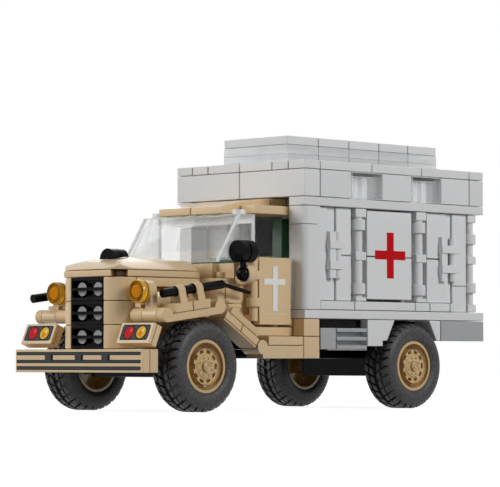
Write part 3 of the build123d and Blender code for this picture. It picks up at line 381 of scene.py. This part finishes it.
def clear_polycarbonate(name, code, alpha, roughness, transmission=1.0, level=0.5):
    """Polycarbonate moulded clear: bright edges, sharp reflections and faint flow lines that bend what is
    seen through it."""
    material = bare_material(name)
    if material is None:
        return bpy.data.materials[name]
    # Flow lines run about 5 mm apart.
    flow = noise(material, 5, detail=1.0)
    tint = spread(material, flow, 0.94, 1.04)
    colour = add_node(material, "ShaderNodeHueSaturation", {"Value": tint, "Color": linear(code)})
    haze = spread(material, flow, roughness, roughness + 0.05)
    bump = add_node(material, "ShaderNodeBump", {"Height": flow, "Strength": 0.08, "Distance": 0.1 * MM})
    shader = add_node(
        material, "ShaderNodeBsdfPrincipled",
        {"Base Color": colour.outputs["Color"], "Roughness": haze, "IOR": 1.58,
         "Transmission Weight": transmission, "Alpha": alpha, "Specular IOR Level": level,
         "Normal": bump.outputs["Normal"]})
    add_node(material, "ShaderNodeOutputMaterial", {"Surface": shader.outputs["BSDF"]})
    return material


def pad_printed_ink(name, code):
    """Ink stamped on from a soft pad: thin, satin and very slightly uneven in cover."""
    material = bare_material(name)
    if material is None:
        return bpy.data.materials[name]
    # Cover varies over about 1.2 mm.
    cover = noise(material, 1.2, detail=3.0)
    value = spread(material, cover, 0.92, 1.08)
    colour = add_node(material, "ShaderNodeHueSaturation", {"Value": value, "Color": linear(code)})
    rough = spread(material, cover, 0.44, 0.56)
    shader = add_node(
        material, "ShaderNodeBsdfPrincipled",
        {"Base Color": colour.outputs["Color"], "Roughness": rough, "IOR": 1.5,
         "Specular IOR Level": 0.08})
    add_node(material, "ShaderNodeOutputMaterial", {"Surface": shader.outputs["BSDF"]})
    return material


def finish_of(slot):
    """The finish that a slot of the record stands for."""
    paint = bpy.context.scene.ambulance_colours
    if slot == "tyre_rubber":
        return moulded_rubber("moulded_tyre_rubber", paint.rubber)
    if slot == "clear":
        return clear_polycarbonate("moulded_clear_polycarbonate", paint.clear, alpha=0.3, roughness=0.03)
    if slot == "amber":
        return clear_polycarbonate(
            "moulded_amber_polycarbonate", paint.lens, alpha=1.0, roughness=0.06, transmission=0.3, level=0.3)
    if slot == "black":
        return moulded_abs("moulded_black_abs", paint.black, roughness=0.12, level=0.06)
    if slot == "white":
        return moulded_abs("moulded_white_abs", paint.white, roughness=0.38, level=0.12)
    return moulded_abs(f"moulded_{slot}_abs", getattr(paint, slot), roughness=0.25, level=0.4)


def solids_of(node):
    """The solids of a CAD node: each a list of points and a list of triangles on them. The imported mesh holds
    one solid after another, and each is complete when every edge has met its neighbour."""
    mesh = frame["nodes"][node].data
    points, numbers, shared = [], [], {}
    for vertex in mesh.vertices:
        key = tuple(round(value / WELD) for value in vertex.co)
        if key not in shared:
            shared[key] = len(points)
            points.append(vertex.co.copy())
        numbers.append(shared[key])
    solids, faces, open_edges = [], [], set()
    for polygon in mesh.polygons:
        ring = [numbers[index] for index in polygon.vertices]
        if len(set(ring)) < 3:
            continue
        faces.append(ring)
        for edge in zip(ring, ring[1:] + ring[:1]):
            if edge[::-1] in open_edges:
                open_edges.remove(edge[::-1])
            else:
                open_edges.add(edge)
        if not open_edges:
            used = sorted({index for face in faces for index in face})
            place = {index: number for number, index in enumerate(used)}
            solids.append(([points[index] for index in used], [[place[i] for i in face] for face in faces]))
            faces = []
    if faces:
        raise RuntimeError(f"the mesh of {node} isn't closed")
    return solids


def rounded_solid(points, faces, edge, gap):
    """A solid with its flat faces joined up, set back by the gap, and its sharp edges rounded."""
    part = bmesh.new()
    corners = [part.verts.new(point) for point in points]
    for face in faces:
        part.faces.new([corners[index] for index in face])
    bmesh.ops.dissolve_limit(part, angle_limit=radians(FLAT_ANGLE), verts=part.verts, edges=part.edges)
    part.normal_update()
    steps = [
        (vertex, vertex.normal * min(vertex.calc_shell_factor(), SET_BACK_LIMIT) * gap)
        for vertex in part.verts]
    for vertex, step in steps:
        vertex.co -= step
    sharp = [e for e in part.edges if e.is_manifold and e.calc_face_angle(0.0) > radians(SHARP_ANGLE)]
    if sharp:
        bmesh.ops.bevel(
            part, geom=sharp, offset=edge, offset_type="OFFSET", segments=EDGE_STEPS, profile=0.5,
            affect="EDGES", clamp_overlap=True)
    return part


def mesh_of(name, made):
    """The mesh of a form that is done."""
    mesh = bpy.data.meshes.new(name)
    made.to_mesh(mesh)
    made.free()
    return mesh


def turns(count):
    """Angles of equal steps round a circle."""
    return [2 * pi * step / count for step in range(count)]


def band(made, ring, after):
    """Faces between two rings with as many points."""
    faces = []
    for step in range(len(ring)):
        follow = (step + 1) % len(ring)
        faces.append(made.faces.new((ring[step], ring[follow], after[follow], after[step])))
    return faces


def closed_form(made, rings):
    """Smooth bands from ring to ring, with a flat cap at each end."""
    for ring, after in zip(rings, rings[1:]):
        for face in band(made, ring, after):
            face.smooth = True
    made.faces.new(rings[0][::-1])
    made.faces.new(rings[-1])


def add_object(name, mesh, body, slot, finishes):
    """Put a finished mesh in the scene as a piece that rides on a body."""
    piece = bpy.data.objects.new(name, mesh)
    bpy.context.scene.collection.objects.link(piece)
    for finish in finishes:
        mesh.materials.append(finish)
    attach(piece, body)
    return piece


def moulded(node, edge=None, finishes=None, sort=None, gap=None):
    """A CAD node as it leaves the mould: the same solids with rounded edges, one tone to each brick."""
    sizes = bpy.context.scene.ambulance_sizes
    whole = bmesh.new()
    tone = whole.verts.layers.float.new("tone")
    for number, (points, faces) in enumerate(solids_of(node)):
        part = rounded_solid(points, faces, edge or sizes.edge, gap or sizes.gap)
        shade = 2 * ((number * TONE_STEP + len(node) * NAME_TONE) % 1) - 1
        copies = {}
        for vertex in part.verts:
            copies[vertex] = whole.verts.new(vertex.co)
            copies[vertex][tone] = shade
        for face in part.faces:
            twin = whole.faces.new([copies[vertex] for vertex in face.verts])
            twin.smooth = True
            twin.material_index = sort(face) if sort else 0
        part.free()
    name, slot = f"{node}_moulded", SLOT_OF[node]
    piece = add_object(name, mesh_of(name, whole), BODY_OF[node], slot, finishes or [finish_of(slot)])
    piece.modifiers.new("flat_faces_stay_flat", "WEIGHTED_NORMAL").keep_sharp = True
    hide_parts(node)
    return piece


def rounded_outline(low, high, radius):
    """Points round a rectangle with rounded corners."""
    points = []
    for turn, (x, y) in enumerate((
            (high[0] - radius, high[1] - radius), (low[0] + radius, high[1] - radius),
            (low[0] + radius, low[1] + radius), (high[0] - radius, low[1] + radius))):
        for step in range(CORNER_STEPS + 1):
            angle = (turn + step / CORNER_STEPS) * pi / 2
            points.append((x + radius * cos(angle), y + radius * sin(angle)))
    return points


def round_outline(centre, radius, stretch):
    """Points round a circle, or round an ellipse that is stretched upwards."""
    return [(centre[0] + radius * cos(t), centre[1] + radius * stretch * sin(t)) for t in turns(ROUND_STEPS)]


def cross_outline(upright, arm):
    """Points round a cross of two bars, each with its left, right, low and high edge."""
    left, right, low, high = upright
    far_left, far_right, under, over = arm
    return [(left, low), (right, low), (right, under), (far_right, under), (far_right, over), (right, over),
            (right, high), (left, high), (left, over), (far_left, over), (far_left, under), (left, under)]


def print_on(name, body, slot, layers, origin, across, up, finishes):
    """Printed layers as thin closed slabs on a face. A layer has an outline in mm on the face, the heights
    between which it lies, in ink layers, and the number of its finish."""
    ink = bpy.context.scene.ambulance_sizes.ink
    across, up = Vector(across), Vector(up)
    out = across.cross(up)
    sheet = bmesh.new()
    for outline, foot, top, number in layers:
        rings = []
        for height in (foot, top):
            ring = [Vector(origin) + (across * x + up * y) * MM + out * ink * height for x, y in outline]
            rings.append([sheet.verts.new(point) for point in ring])
        for face in (sheet.faces.new(rings[0][::-1]), sheet.faces.new(rings[1]), *band(sheet, *rings)):
            face.material_index = number
    bmesh.ops.recalc_face_normals(sheet, faces=sheet.faces)
    add_object(name, mesh_of(name, sheet), body, slot, finishes)


class AMBULANCE_OT_running_gear(bpy.types.Operator):
    """Make the chassis, its bearers and the axles"""

    bl_idname = "ambulance.running_gear"
    bl_label = "Running gear"

    def execute(self, context):
        for node in RUNNING_GEAR:
            moulded(node)
        return {"FINISHED"}


class AMBULANCE_OT_tyres(bpy.types.Operator):
    """Make the four tyres with soft side walls and two rows of swept lugs"""

    bl_idname = "ambulance.tyres"
    bl_label = "Tyres"

    def execute(self, context):
        lugs = context.scene.ambulance_sizes.lugs
        rubber = finish_of("tyre_rubber")
        for wheel in WHEELS:
            node = f"{wheel}_tyre"
            low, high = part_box(node)
            self.make(node, (low + high) / 2, lugs, rubber)
        return {"FINISHED"}

    def make(self, node, centre, lugs, rubber):
        """A tyre turned from its section, with grooves between its lugs."""
        count = lugs * len(LUG_COLUMNS)
        tyre = bmesh.new()
        rings = []
        for half, way in ((0, 1), (1, -1)):
            rows = TYRE_ROWS if way == 1 else TYRE_ROWS[::-1]
            for radius, reach, lug_groove, ring_groove in rows:
                ring = []
                for column in range(count):
                    part = column % len(LUG_COLUMNS)
                    turn = (column // len(LUG_COLUMNS) + LUG_COLUMNS[part]) / lugs
                    depth = max(lug_groove, ring_groove) if part in LUG_GROOVE[half] else ring_groove
                    angle = 2 * pi * turn + radians(LUG_SWEEP) * min(reach, LUG_REACH) / LUG_REACH
                    at = radius - depth
                    ring.append(tyre.verts.new(
                        centre + Vector((at * cos(angle), way * reach, at * sin(angle))) * MM))
                rings.append(ring)
        for ring, after in zip(rings, rings[1:] + rings[:1]):
            for face in band(tyre, ring, after):
                face.smooth = True
        bmesh.ops.recalc_face_normals(tyre, faces=tyre.faces)
        name = f"{node}_treaded"
        mesh = mesh_of(name, tyre)
        mesh.set_sharp_from_angle(angle=radians(TREAD_CREASE))
        piece = add_object(name, mesh, BODY_OF[node], SLOT_OF[node], [rubber])
        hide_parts(node)


class AMBULANCE_OT_rims(bpy.types.Operator):
    """Make the four slotted rims, with bolts round the rings of their bosses"""

    bl_idname = "ambulance.rims"
    bl_label = "Rims"

    def execute(self, context):
        sizes = context.scene.ambulance_sizes
        paint = context.scene.ambulance_colours
        polished = moulded_abs("moulded_tan_abs_polished", paint.rim, roughness=0.16, level=0.6)
        for wheel in WHEELS:
            node = f"{wheel}_rim"
            moulded(node, sizes.fine_edge, [polished])
            low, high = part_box(node)
            centre = (low + high) / 2
            way = 1 if centre.y > 0 else -1
            face_y = way * (max(abs(low.y), abs(high.y)) - BOSS_DEPTH * MM)
            heads = bmesh.new()
            tone = heads.verts.layers.float.new("tone")
            for bolt in range(sizes.bolts):
                angle = 2 * pi * (bolt + 0.5) / sizes.bolts
                foot = Vector((
                    centre.x + sizes.bolt_ring * cos(angle), face_y, centre.z + sizes.bolt_ring * sin(angle)))
                self.turned(heads, foot, way, BOLT_ROWS, sizes.bolt, BOLT_STEPS, tone)
            self.turned(heads, Vector((centre.x, face_y, centre.z)), way, BOSS_ROWS, MM, BOSS_STEPS, tone)
            bmesh.ops.recalc_face_normals(heads, faces=heads.faces)
            name = f"{wheel}_bolts"
            add_object(name, mesh_of(name, heads), BODY_OF[node], SLOT_OF[node], [polished])
        return {"FINISHED"}

    def turned(self, heads, foot, way, rows, unit, steps, tone):
        """A closed form turned about the wheel's axis, from rows of radius and rise."""
        rings = []
        for radius, rise in rows:
            ring = []
            for t in turns(steps):
                vertex = heads.verts.new(foot + Vector((radius * cos(t), way * rise, radius * sin(t))) * unit)
                vertex[tone] = BOLT_TONE
                ring.append(vertex)
            rings.append(ring)
        closed_form(heads, rings)


class AMBULANCE_OT_nose(bpy.types.Operator):
    """Make the radiator, hood, fenders and their fittings"""

    bl_idname = "ambulance.nose"
    bl_label = "Nose"

    def execute(self, context):
        paint = context.scene.ambulance_colours
        satin = moulded_abs("moulded_tan_abs_satin", paint.tan, roughness=0.4, level=0.15)
        for node in NOSE:
            moulded(node, finishes=[satin] if node == "fenders" else None)
        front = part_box("radiator_grille")[1].x
        # The studs' forward faces get a grey finish: a painted reflection of the bright surround, not wear.
        lightening = moulded_abs("moulded_black_abs_painted_reflection", paint.stud, roughness=0.2, level=0.3)
        near, far = [depth * MM for depth in GRILLE_STUDS]

        def sort(face):
            depth = front - face.calc_center_median().x
            return 1 if face.normal.x > FACES_FRONT and near < depth < far else 0

        moulded("radiator_grille", finishes=[finish_of("black"), lightening], sort=sort)
        return {"FINISHED"}


class AMBULANCE_OT_bumper(bpy.types.Operator):
    """Make the bumper with its printed stripes let into the front tile"""

    bl_idname = "ambulance.bumper"
    bl_label = "Bumper"

    def execute(self, context):
        paint = context.scene.ambulance_colours
        ink = context.scene.ambulance_sizes.ink
        bumper = moulded("front_bumper")
        face_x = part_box("front_bumper")[1].x
        sunk = face_x - STRIPE_SINK * ink
        for vertex in bumper.data.vertices:
            vertex.co.x = min(vertex.co.x, sunk)
        layers = []

        def lay(low, high, radius, *layer):
            layers.append((rounded_outline(low, high, radius), *layer))

        left, right = STRIPE_Y
        for low, high in STRIPES:
            for inset, ink_shape in ((0, STRIPE_BED), (STRIPE_INSET, STRIPE_FILL)):
                lay((left + inset, low + inset), (right - inset, high - inset), *ink_shape)
        under, over = STRIPES[1][1] - DIVIDER_LAP, STRIPES[0][0] + DIVIDER_LAP
        for start, edge, end in DIVIDERS:
            lay((edge - DIVIDER_BED_LAP, under), (end, over), *DIVIDER_BED)
            lay((start, under - DIVIDER_FILL_LAP), (edge, over + DIVIDER_FILL_LAP), *DIVIDER_FILL)
        print_on("bumper_stripes", "truck", "black", layers, (sunk, 0, 0), (0, 1, 0), (0, 0, 1),
                 [pad_printed_ink("pad_printed_black_ink", paint.outline),
                  pad_printed_ink("pad_printed_grey_ink", paint.stripe)])
        return {"FINISHED"}


class AMBULANCE_OT_headlights(bpy.types.Operator):
    """Make the headlight lenses with a clear yellow rim round an amber heart"""

    bl_idname = "ambulance.headlights"
    bl_label = "Headlights"

    def execute(self, context):
        paint = context.scene.ambulance_colours
        low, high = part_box("headlight_lenses")
        radius = (high.z - low.z) / 2
        lenses = bmesh.new()
        for way in (1, -1):
            self.lens(lenses, Vector((high.x, way * (high.y - radius), (low.z + high.z) / 2)))
        name = "headlight_lenses_ringed"
        mesh = mesh_of(name, lenses)
        mesh.set_sharp_from_angle(angle=radians(LENS_CREASE))
        heart = clear_polycarbonate(
            "moulded_amber_lens_heart", paint.lens_heart,
            alpha=1.0, roughness=0.3, transmission=0.0, level=0.03)
        # The grooves get a darker amber as painted shade, where a real lens shows dark bands by refraction.
        groove_shade = clear_polycarbonate(
            "moulded_amber_lens_painted_shade", paint.lens_groove,
            alpha=1.0, roughness=0.1, transmission=0.2, level=0.1)
        piece = add_object(name, mesh, "truck", "amber", [finish_of("amber"), heart, groove_shade])
        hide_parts("headlight_lenses")
        return {"FINISHED"}

    def lens(self, lenses, front):
        """A round lens turned about X, with a grooved rim, two bright ridges and a flat heart. Its grooves
        carry a painted shade in darker amber.
        """
        rings = []
        for radius, back, _ in LENS_ROWS:
            ring = [front + Vector((-back, radius * cos(t), radius * sin(t))) * MM for t in turns(LENS_STEPS)]
            rings.append([lenses.verts.new(point) for point in ring])
        for ring, after, (_, _, number) in zip(rings, rings[1:], LENS_ROWS[1:]):
            for face in band(lenses, ring, after):
                face.material_index = number
                face.smooth = True
        lenses.faces.new(rings[0][::-1])
        lenses.faces.new(rings[-1]).material_index = LENS_ROWS[-1][2]


class AMBULANCE_OT_signal_panels(bpy.types.Operator):
    """Print the stop and turn lamps on the leaning panels over the bumper"""

    bl_idname = "ambulance.signal_panels"
    bl_label = "Signal panels"

    def execute(self, context):
        paint = context.scene.ambulance_colours
        lean = radians(SIGNAL_LEAN)
        up = (-sin(lean), 0, cos(lean))
        out = Vector((cos(lean), 0, sin(lean)))
        sunk = context.scene.ambulance_sizes.gap
        corners = [vertex.co for vertex in frame["nodes"]["signal_boxes"].data.vertices]
        front = max(corners, key=lambda corner: corner.x - LOWER_FIRST * corner.z)
        sides = [abs(corner.y) for corner in corners]
        middle = (min(sides) + max(sides)) / 2
        finishes = []
        for name, code in (
                ("black", paint.outline), ("grey", paint.stripe), ("red", paint.red), ("amber", paint.amber),
                ("pale_red", paint.pale_red), ("pale_amber", paint.pale_amber),
                ("deep_amber", paint.deep_amber)):
            finishes.append(pad_printed_ink(f"pad_printed_{name}_ink", code))
        layers = [(rounded_outline(low, high, radius), *ink) for low, high, radius, *ink in SIGNAL_PLATES]
        for centre, radius, stretch, *ink in SIGNAL_DISCS:
            layers.append((round_outline(centre, radius, stretch), *ink))
        for side, way in (("left", 1), ("right", -1)):
            foot = Vector((front.x, way * middle, front.z)) - out * sunk
            print_on(f"signal_print_{side}", "truck", "black", layers, foot, (0, 1, 0), up, finishes)
        return {"FINISHED"}


class AMBULANCE_OT_cab(bpy.types.Operator):
    """Make the cab, its doors and the driver's spot lamp"""

    bl_idname = "ambulance.cab"
    bl_label = "Cab"

    def execute(self, context):
        fine = context.scene.ambulance_sizes.fine_edge
        for node in CAB:
            moulded(node, fine if node in ("spot_lamps", "lamp_sockets") else None)
        return {"FINISHED"}


class AMBULANCE_OT_box(bpy.types.Operator):
    """Make the box with its walls, doors, latches, skirts and roof"""

    bl_idname = "ambulance.box"
    bl_label = "Box"

    def execute(self, context):
        for node in BOX:
            moulded(node)
        return {"FINISHED"}


class AMBULANCE_OT_clear_pieces(bpy.types.Operator):
    """Make the windscreen, the band windows and the clear roof tier"""

    bl_idname = "ambulance.clear_pieces"
    bl_label = "Clear pieces"

    def execute(self, context):
        paint = context.scene.ambulance_colours
        edges = clear_polycarbonate(
            "moulded_clear_polycarbonate_edges", paint.clear, alpha=0.85, roughness=0.2, transmission=0.35)

        def sort(face):
            # Narrow faces gather the light that runs inside a pane.
            longest = max(edge.calc_length() for edge in face.edges)
            return 1 if face.calc_area() < NARROW_FACE * MM * longest else 0

        for node in ("windscreen", "band_windows"):
            moulded(node, finishes=[finish_of("clear"), edges], sort=sort)
        tier = clear_polycarbonate(
            "moulded_clear_polycarbonate_plates", paint.clear, alpha=0.68, roughness=0.2, transmission=0.0)
        moulded("roof_tier", context.scene.ambulance_sizes.fine_edge, [tier], gap=TIER_GAP * MM)
        self.tier_studs()
        self.screen_edges(edges)
        self.window_insides()
        return {"FINISHED"}

    def screen_edges(self, edges):
        """Bright bars inside the windscreen's corners, where its panes meet and gather the light."""
        low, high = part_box("windscreen")
        top = high.z - SCREEN_CAP * MM
        head = low.x + PITCH * MM
        bars = bmesh.new()
        for way in (1, -1):
            side = way * high.y
            # Columns: foot and top of a bar, and the way it lies inside the pane, in X.
            for foot, end, inward in (((high.x, low.z), (head, top), -1), ((low.x, low.z), (low.x, top), 1)):
                corners = []
                for x, z in (foot, end):
                    near, far = [x + inward * depth * MM for depth in BAR_X]
                    out, back = [side - way * depth * MM for depth in BAR_Y]
                    z += (BAR_END if z == low.z else -BAR_END) * MM
                    ring = ((near, out, z), (far, out, z), (far, back, z), (near, back, z))
                    corners.append([bars.verts.new(point) for point in ring])
                bars.faces.new(corners[0])
                bars.faces.new(corners[1][::-1])
                band(bars, *corners)
        bmesh.ops.bevel(
            bars, geom=bars.edges[:], offset=BAR_EDGE * MM, segments=EDGE_STEPS, profile=0.5, affect="EDGES")
        bmesh.ops.recalc_face_normals(bars, faces=bars.faces)
        name = "windscreen_edges"
        add_object(name, mesh_of(name, bars), "truck", "clear", [edges])

    def tier_studs(self):
        """Rows of studs inside each clear roof plate, seen faintly through its sides."""
        studs = bmesh.new()
        for points, _ in solids_of("roof_tier"):
            low, high = self.span(points)
            count = round((high.x - low.x) / (PITCH * MM))
            for step in range(count):
                x = low.x + (high.x - low.x) * (step + 0.5) / count
                for row in range(TIER_ROWS):
                    y = low.y + (high.y - low.y) * (row + 0.5) / TIER_ROWS
                    self.stud(studs, Vector((x, y, low.z + INNER_ROOM * MM)))
        self.put(studs, "roof_tier_studs")

    def stud(self, studs, foot):
        """A low round stud with a softened rim."""
        rings = []
        for radius, rise in STUD_ROWS:
            ring = [foot + Vector((radius * cos(t), radius * sin(t), rise)) * MM for t in turns(STUD_STEPS)]
            rings.append([studs.verts.new(point) for point in ring])
        closed_form(studs, rings)

    def window_insides(self):
        """White inner wall and upright ribs of each band window, seen through the clear brick."""
        insides = bmesh.new()
        for points, _ in solids_of("band_windows"):
            low, high = self.span(points)
            wall = WINDOW_WALL * MM
            inner = min((low.y, high.y), key=abs)
            way = 1 if inner > 0 else -1
            start = low.x + wall
            length = high.x - low.x - 2 * wall
            for first, last, depth in WINDOW_RIBS:
                y = (inner + way * wall, inner + way * (wall + depth * MM))
                self.slab(insides, (start + first * length, min(y), low.z + INNER_ROOM * MM),
                          (start + last * length, max(y), high.z - wall))
        self.put(insides, "band_window_insides")

    def slab(self, whole, low, high):
        """A straight-sided slab with softened edges."""
        made = bmesh.ops.create_cube(whole, size=1.0)["verts"]
        for vertex in made:
            for axis in range(3):
                vertex.co[axis] = high[axis] if vertex.co[axis] > 0 else low[axis]
        sides = list({edge for vertex in made for edge in vertex.link_edges})
        bmesh.ops.bevel(
            whole, geom=sides, offset=SLAB_EDGE * MM, segments=EDGE_STEPS, profile=0.5, affect="EDGES")

    def span(self, points):
        """Lowest and highest corner of a solid's points."""
        return [Vector(pick(point[axis] for point in points) for axis in range(3)) for pick in (min, max)]

    def put(self, made, name):
        """Put white inner pieces on the truck."""
        bmesh.ops.recalc_face_normals(made, faces=made.faces)
        add_object(name, mesh_of(name, made), "truck", "white", [finish_of("white")])


class AMBULANCE_OT_crosses(bpy.types.Operator):
    """Print the white crosses on the cab doors and the red ones on the side doors"""

    bl_idname = "ambulance.crosses"
    bl_label = "Crosses"

    def execute(self, context):
        paint = context.scene.ambulance_colours
        white = pad_printed_ink("pad_printed_white_ink", paint.cross)
        pale = pad_printed_ink("pad_printed_pale_ink", paint.line)
        red = pad_printed_ink("pad_printed_red_ink", paint.red)
        for side, way in (("left", 1), ("right", -1)):
            # Seen from outside, across runs to the rear on the left and to the front on the right.
            cab_y = self.face(f"cab_door_{side}", way, CAB_CROSS[0])
            cross = [(-way * x, z) for x, z in cross_outline(*CAB_CROSS)]
            left, right, low, high = CAB_LINE
            line = [(-way * x, z) for x, z in ((left, low), (right, low), (right, high), (left, high))]
            self.stamp(f"cab_cross_{side}", f"cab_door_{side}", "white", [(cross, 0), (line, 1)],
                       cab_y, way, [white, pale])
            side_y = self.face(f"side_door_{side}", way, SIDE_CROSS[0])
            cross = [(-way * x, z) for x, z in cross_outline(*SIDE_CROSS)]
            self.stamp(f"side_cross_{side}", f"side_door_{side}", None, [(cross, 0)], side_y, way, [red])
        return {"FINISHED"}

    def face(self, node, way, upright):
        """Y of the door's moulded face behind the upright of a cross."""
        left, right, low, high = upright
        spot = Vector(((left + right) / 2 * MM, way, (low + high) / 2 * MM))
        mesh = frame["nodes"][node].data
        tree = BVHTree.FromPolygons([v.co for v in mesh.vertices], [tuple(p.vertices) for p in mesh.polygons])
        place = tree.ray_cast(spot, Vector((0, -way, 0)))[0]
        if place is None:
            raise RuntimeError(f"{node} has no face behind its cross")
        return place.y - way * bpy.context.scene.ambulance_sizes.gap

    def stamp(self, name, body, slot, shapes, y, way, finishes):
        """Print shapes on a door's outer face."""
        layers = [(outline, *CROSS_INK, number) for outline, number in shapes]
        print_on(name, body, slot, layers, (0, y, 0), (-way, 0, 0), (0, 0, 1), finishes)


class AMBULANCE_OT_stage(bpy.types.Operator):
    """Make the floor, the lamps, the white surround and the photograph's camera"""

    bl_idname = "ambulance.stage"
    bl_label = "Stage"

    def execute(self, context):
        scene = context.scene
        scene.view_settings.view_transform = "Standard"
        self.floor(scene)
        self.surround(scene)
        for lamp in LAMPS:
            self.softbox(scene, *lamp)
        data = bpy.data.cameras.new("photo_camera")
        data.sensor_width = SENSOR_W
        data.lens = CAMERA_LENS
        data.clip_start = CLIP_START
        camera = bpy.data.objects.new("photo_camera", data)
        camera.location = CAMERA_PLACE
        camera.rotation_euler = Vector(CAMERA_WAY).to_track_quat("-Z", "Y").to_euler()
        scene.collection.objects.link(camera)
        scene.camera = camera
        return {"FINISHED"}

    def floor(self, scene):
        """A sheet of paper just under the tyres."""
        sheet = bmesh.new()
        bmesh.ops.create_grid(sheet, x_segments=8, y_segments=8, size=FLOOR_SIZE)
        mesh = mesh_of("studio_floor", sheet)
        floor = bpy.data.objects.new("studio_floor", mesh)
        floor.location.z = -FLOOR_DROP * MM
        scene.collection.objects.link(floor)
        mesh.materials.append(self.seamless_paper())

    def seamless_paper(self):
        """Matt studio paper that the camera sees nearly white, with the object's soft shadow left on it."""
        paint = bpy.context.scene.ambulance_colours
        material = bare_material("seamless_studio_paper")
        if material is None:
            return bpy.data.materials["seamless_studio_paper"]
        lift = add_node(
            material, "ShaderNodeMath", {0: self.seen(material), 1: FLOOR_LIFT}, operation="MULTIPLY")
        # Paper fibre is about 0.5 mm long.
        fibre = noise(material, 0.5)
        bump = add_node(
            material, "ShaderNodeBump", {"Height": fibre, "Strength": 0.05, "Distance": 0.05 * MM})
        matt = add_node(
            material, "ShaderNodeBsdfDiffuse",
            {"Color": linear(paint.floor), "Normal": bump.outputs["Normal"]})
        glow = add_node(material, "ShaderNodeEmission", {"Strength": lift.outputs[0]})
        both = add_node(material, "ShaderNodeAddShader", {0: matt.outputs[0], 1: glow.outputs[0]})
        add_node(material, "ShaderNodeOutputMaterial", {"Surface": both.outputs[0]})
        return material

    def seen(self, owner):
        """One for what the camera, a reflection or a clear piece looks at, and zero for other light."""
        path = add_node(owner, "ShaderNodeLightPath")
        seen = path.outputs["Is Camera Ray"]
        for kind in ("Is Glossy Ray", "Is Transmission Ray"):
            both = add_node(owner, "ShaderNodeMath", {0: seen, 1: path.outputs[kind]}, operation="MAXIMUM")
            seen = both.outputs[0]
        return seen

    def surround(self, scene):
        """White where the camera, a reflection or a clear piece looks, and a soft grey light elsewhere."""
        world = bpy.data.worlds.new("studio_surround")
        world.use_nodes = True
        world.node_tree.nodes.clear()
        scene.world = world
        level = spread(world, self.seen(world), SURROUND_FILL, 1.0)
        white = (1.0, 1.0, 1.0, 1.0)
        glow = add_node(world, "ShaderNodeBackground", {"Color": white, "Strength": level})
        add_node(world, "ShaderNodeOutputWorld", {"Surface": glow.outputs[0]})

    def softbox(self, scene, name, place, size, watts):
        """A square lamp aimed at the truck."""
        data = bpy.data.lights.new(name, "AREA")
        data.shape = "SQUARE"
        data.size = size
        data.energy = watts
        lamp = bpy.data.objects.new(name, data)
        lamp.location = place
        lamp.rotation_euler = (Vector(LAMP_AIM) - Vector(place)).to_track_quat("-Z", "Y").to_euler()
        scene.collection.objects.link(lamp)


OPERATORS = (
    AMBULANCE_OT_running_gear, AMBULANCE_OT_tyres, AMBULANCE_OT_rims, AMBULANCE_OT_nose, AMBULANCE_OT_bumper,
    AMBULANCE_OT_headlights, AMBULANCE_OT_signal_panels, AMBULANCE_OT_cab, AMBULANCE_OT_box,
    AMBULANCE_OT_clear_pieces, AMBULANCE_OT_crosses, AMBULANCE_OT_stage,
)


class AMBULANCE_PT_pieces(bpy.types.Panel):
    """Lists the ambulance's pieces"""

    bl_label = "Ambulance"
    bl_idname = "AMBULANCE_PT_pieces"
    bl_space_type = "VIEW_3D"
    bl_region_type = "UI"
    bl_category = "Ambulance"

    def draw(self, context):
        for kind in OPERATORS:
            self.layout.operator(kind.bl_idname)
        for group in (context.scene.ambulance_sizes, context.scene.ambulance_colours):
            column = self.layout.column()
            for name in group.__annotations__:
                column.prop(group, name)


CLASSES = (AmbulanceSizes, AmbulanceColours, *OPERATORS, AMBULANCE_PT_pieces)


def register():
    for kind in CLASSES:
        bpy.utils.register_class(kind)
    bpy.types.Scene.ambulance_sizes = PointerProperty(type=AmbulanceSizes)
    bpy.types.Scene.ambulance_colours = PointerProperty(type=AmbulanceColours)


def unregister():
    del bpy.types.Scene.ambulance_colours
    del bpy.types.Scene.ambulance_sizes
    for kind in reversed(CLASSES):
        bpy.utils.unregister_class(kind)


def main():
    register()
    for kind in OPERATORS:
        group, name = kind.bl_idname.split(".")
        getattr(getattr(bpy.ops, group), name)()


if __name__ == "__main__":
    main()
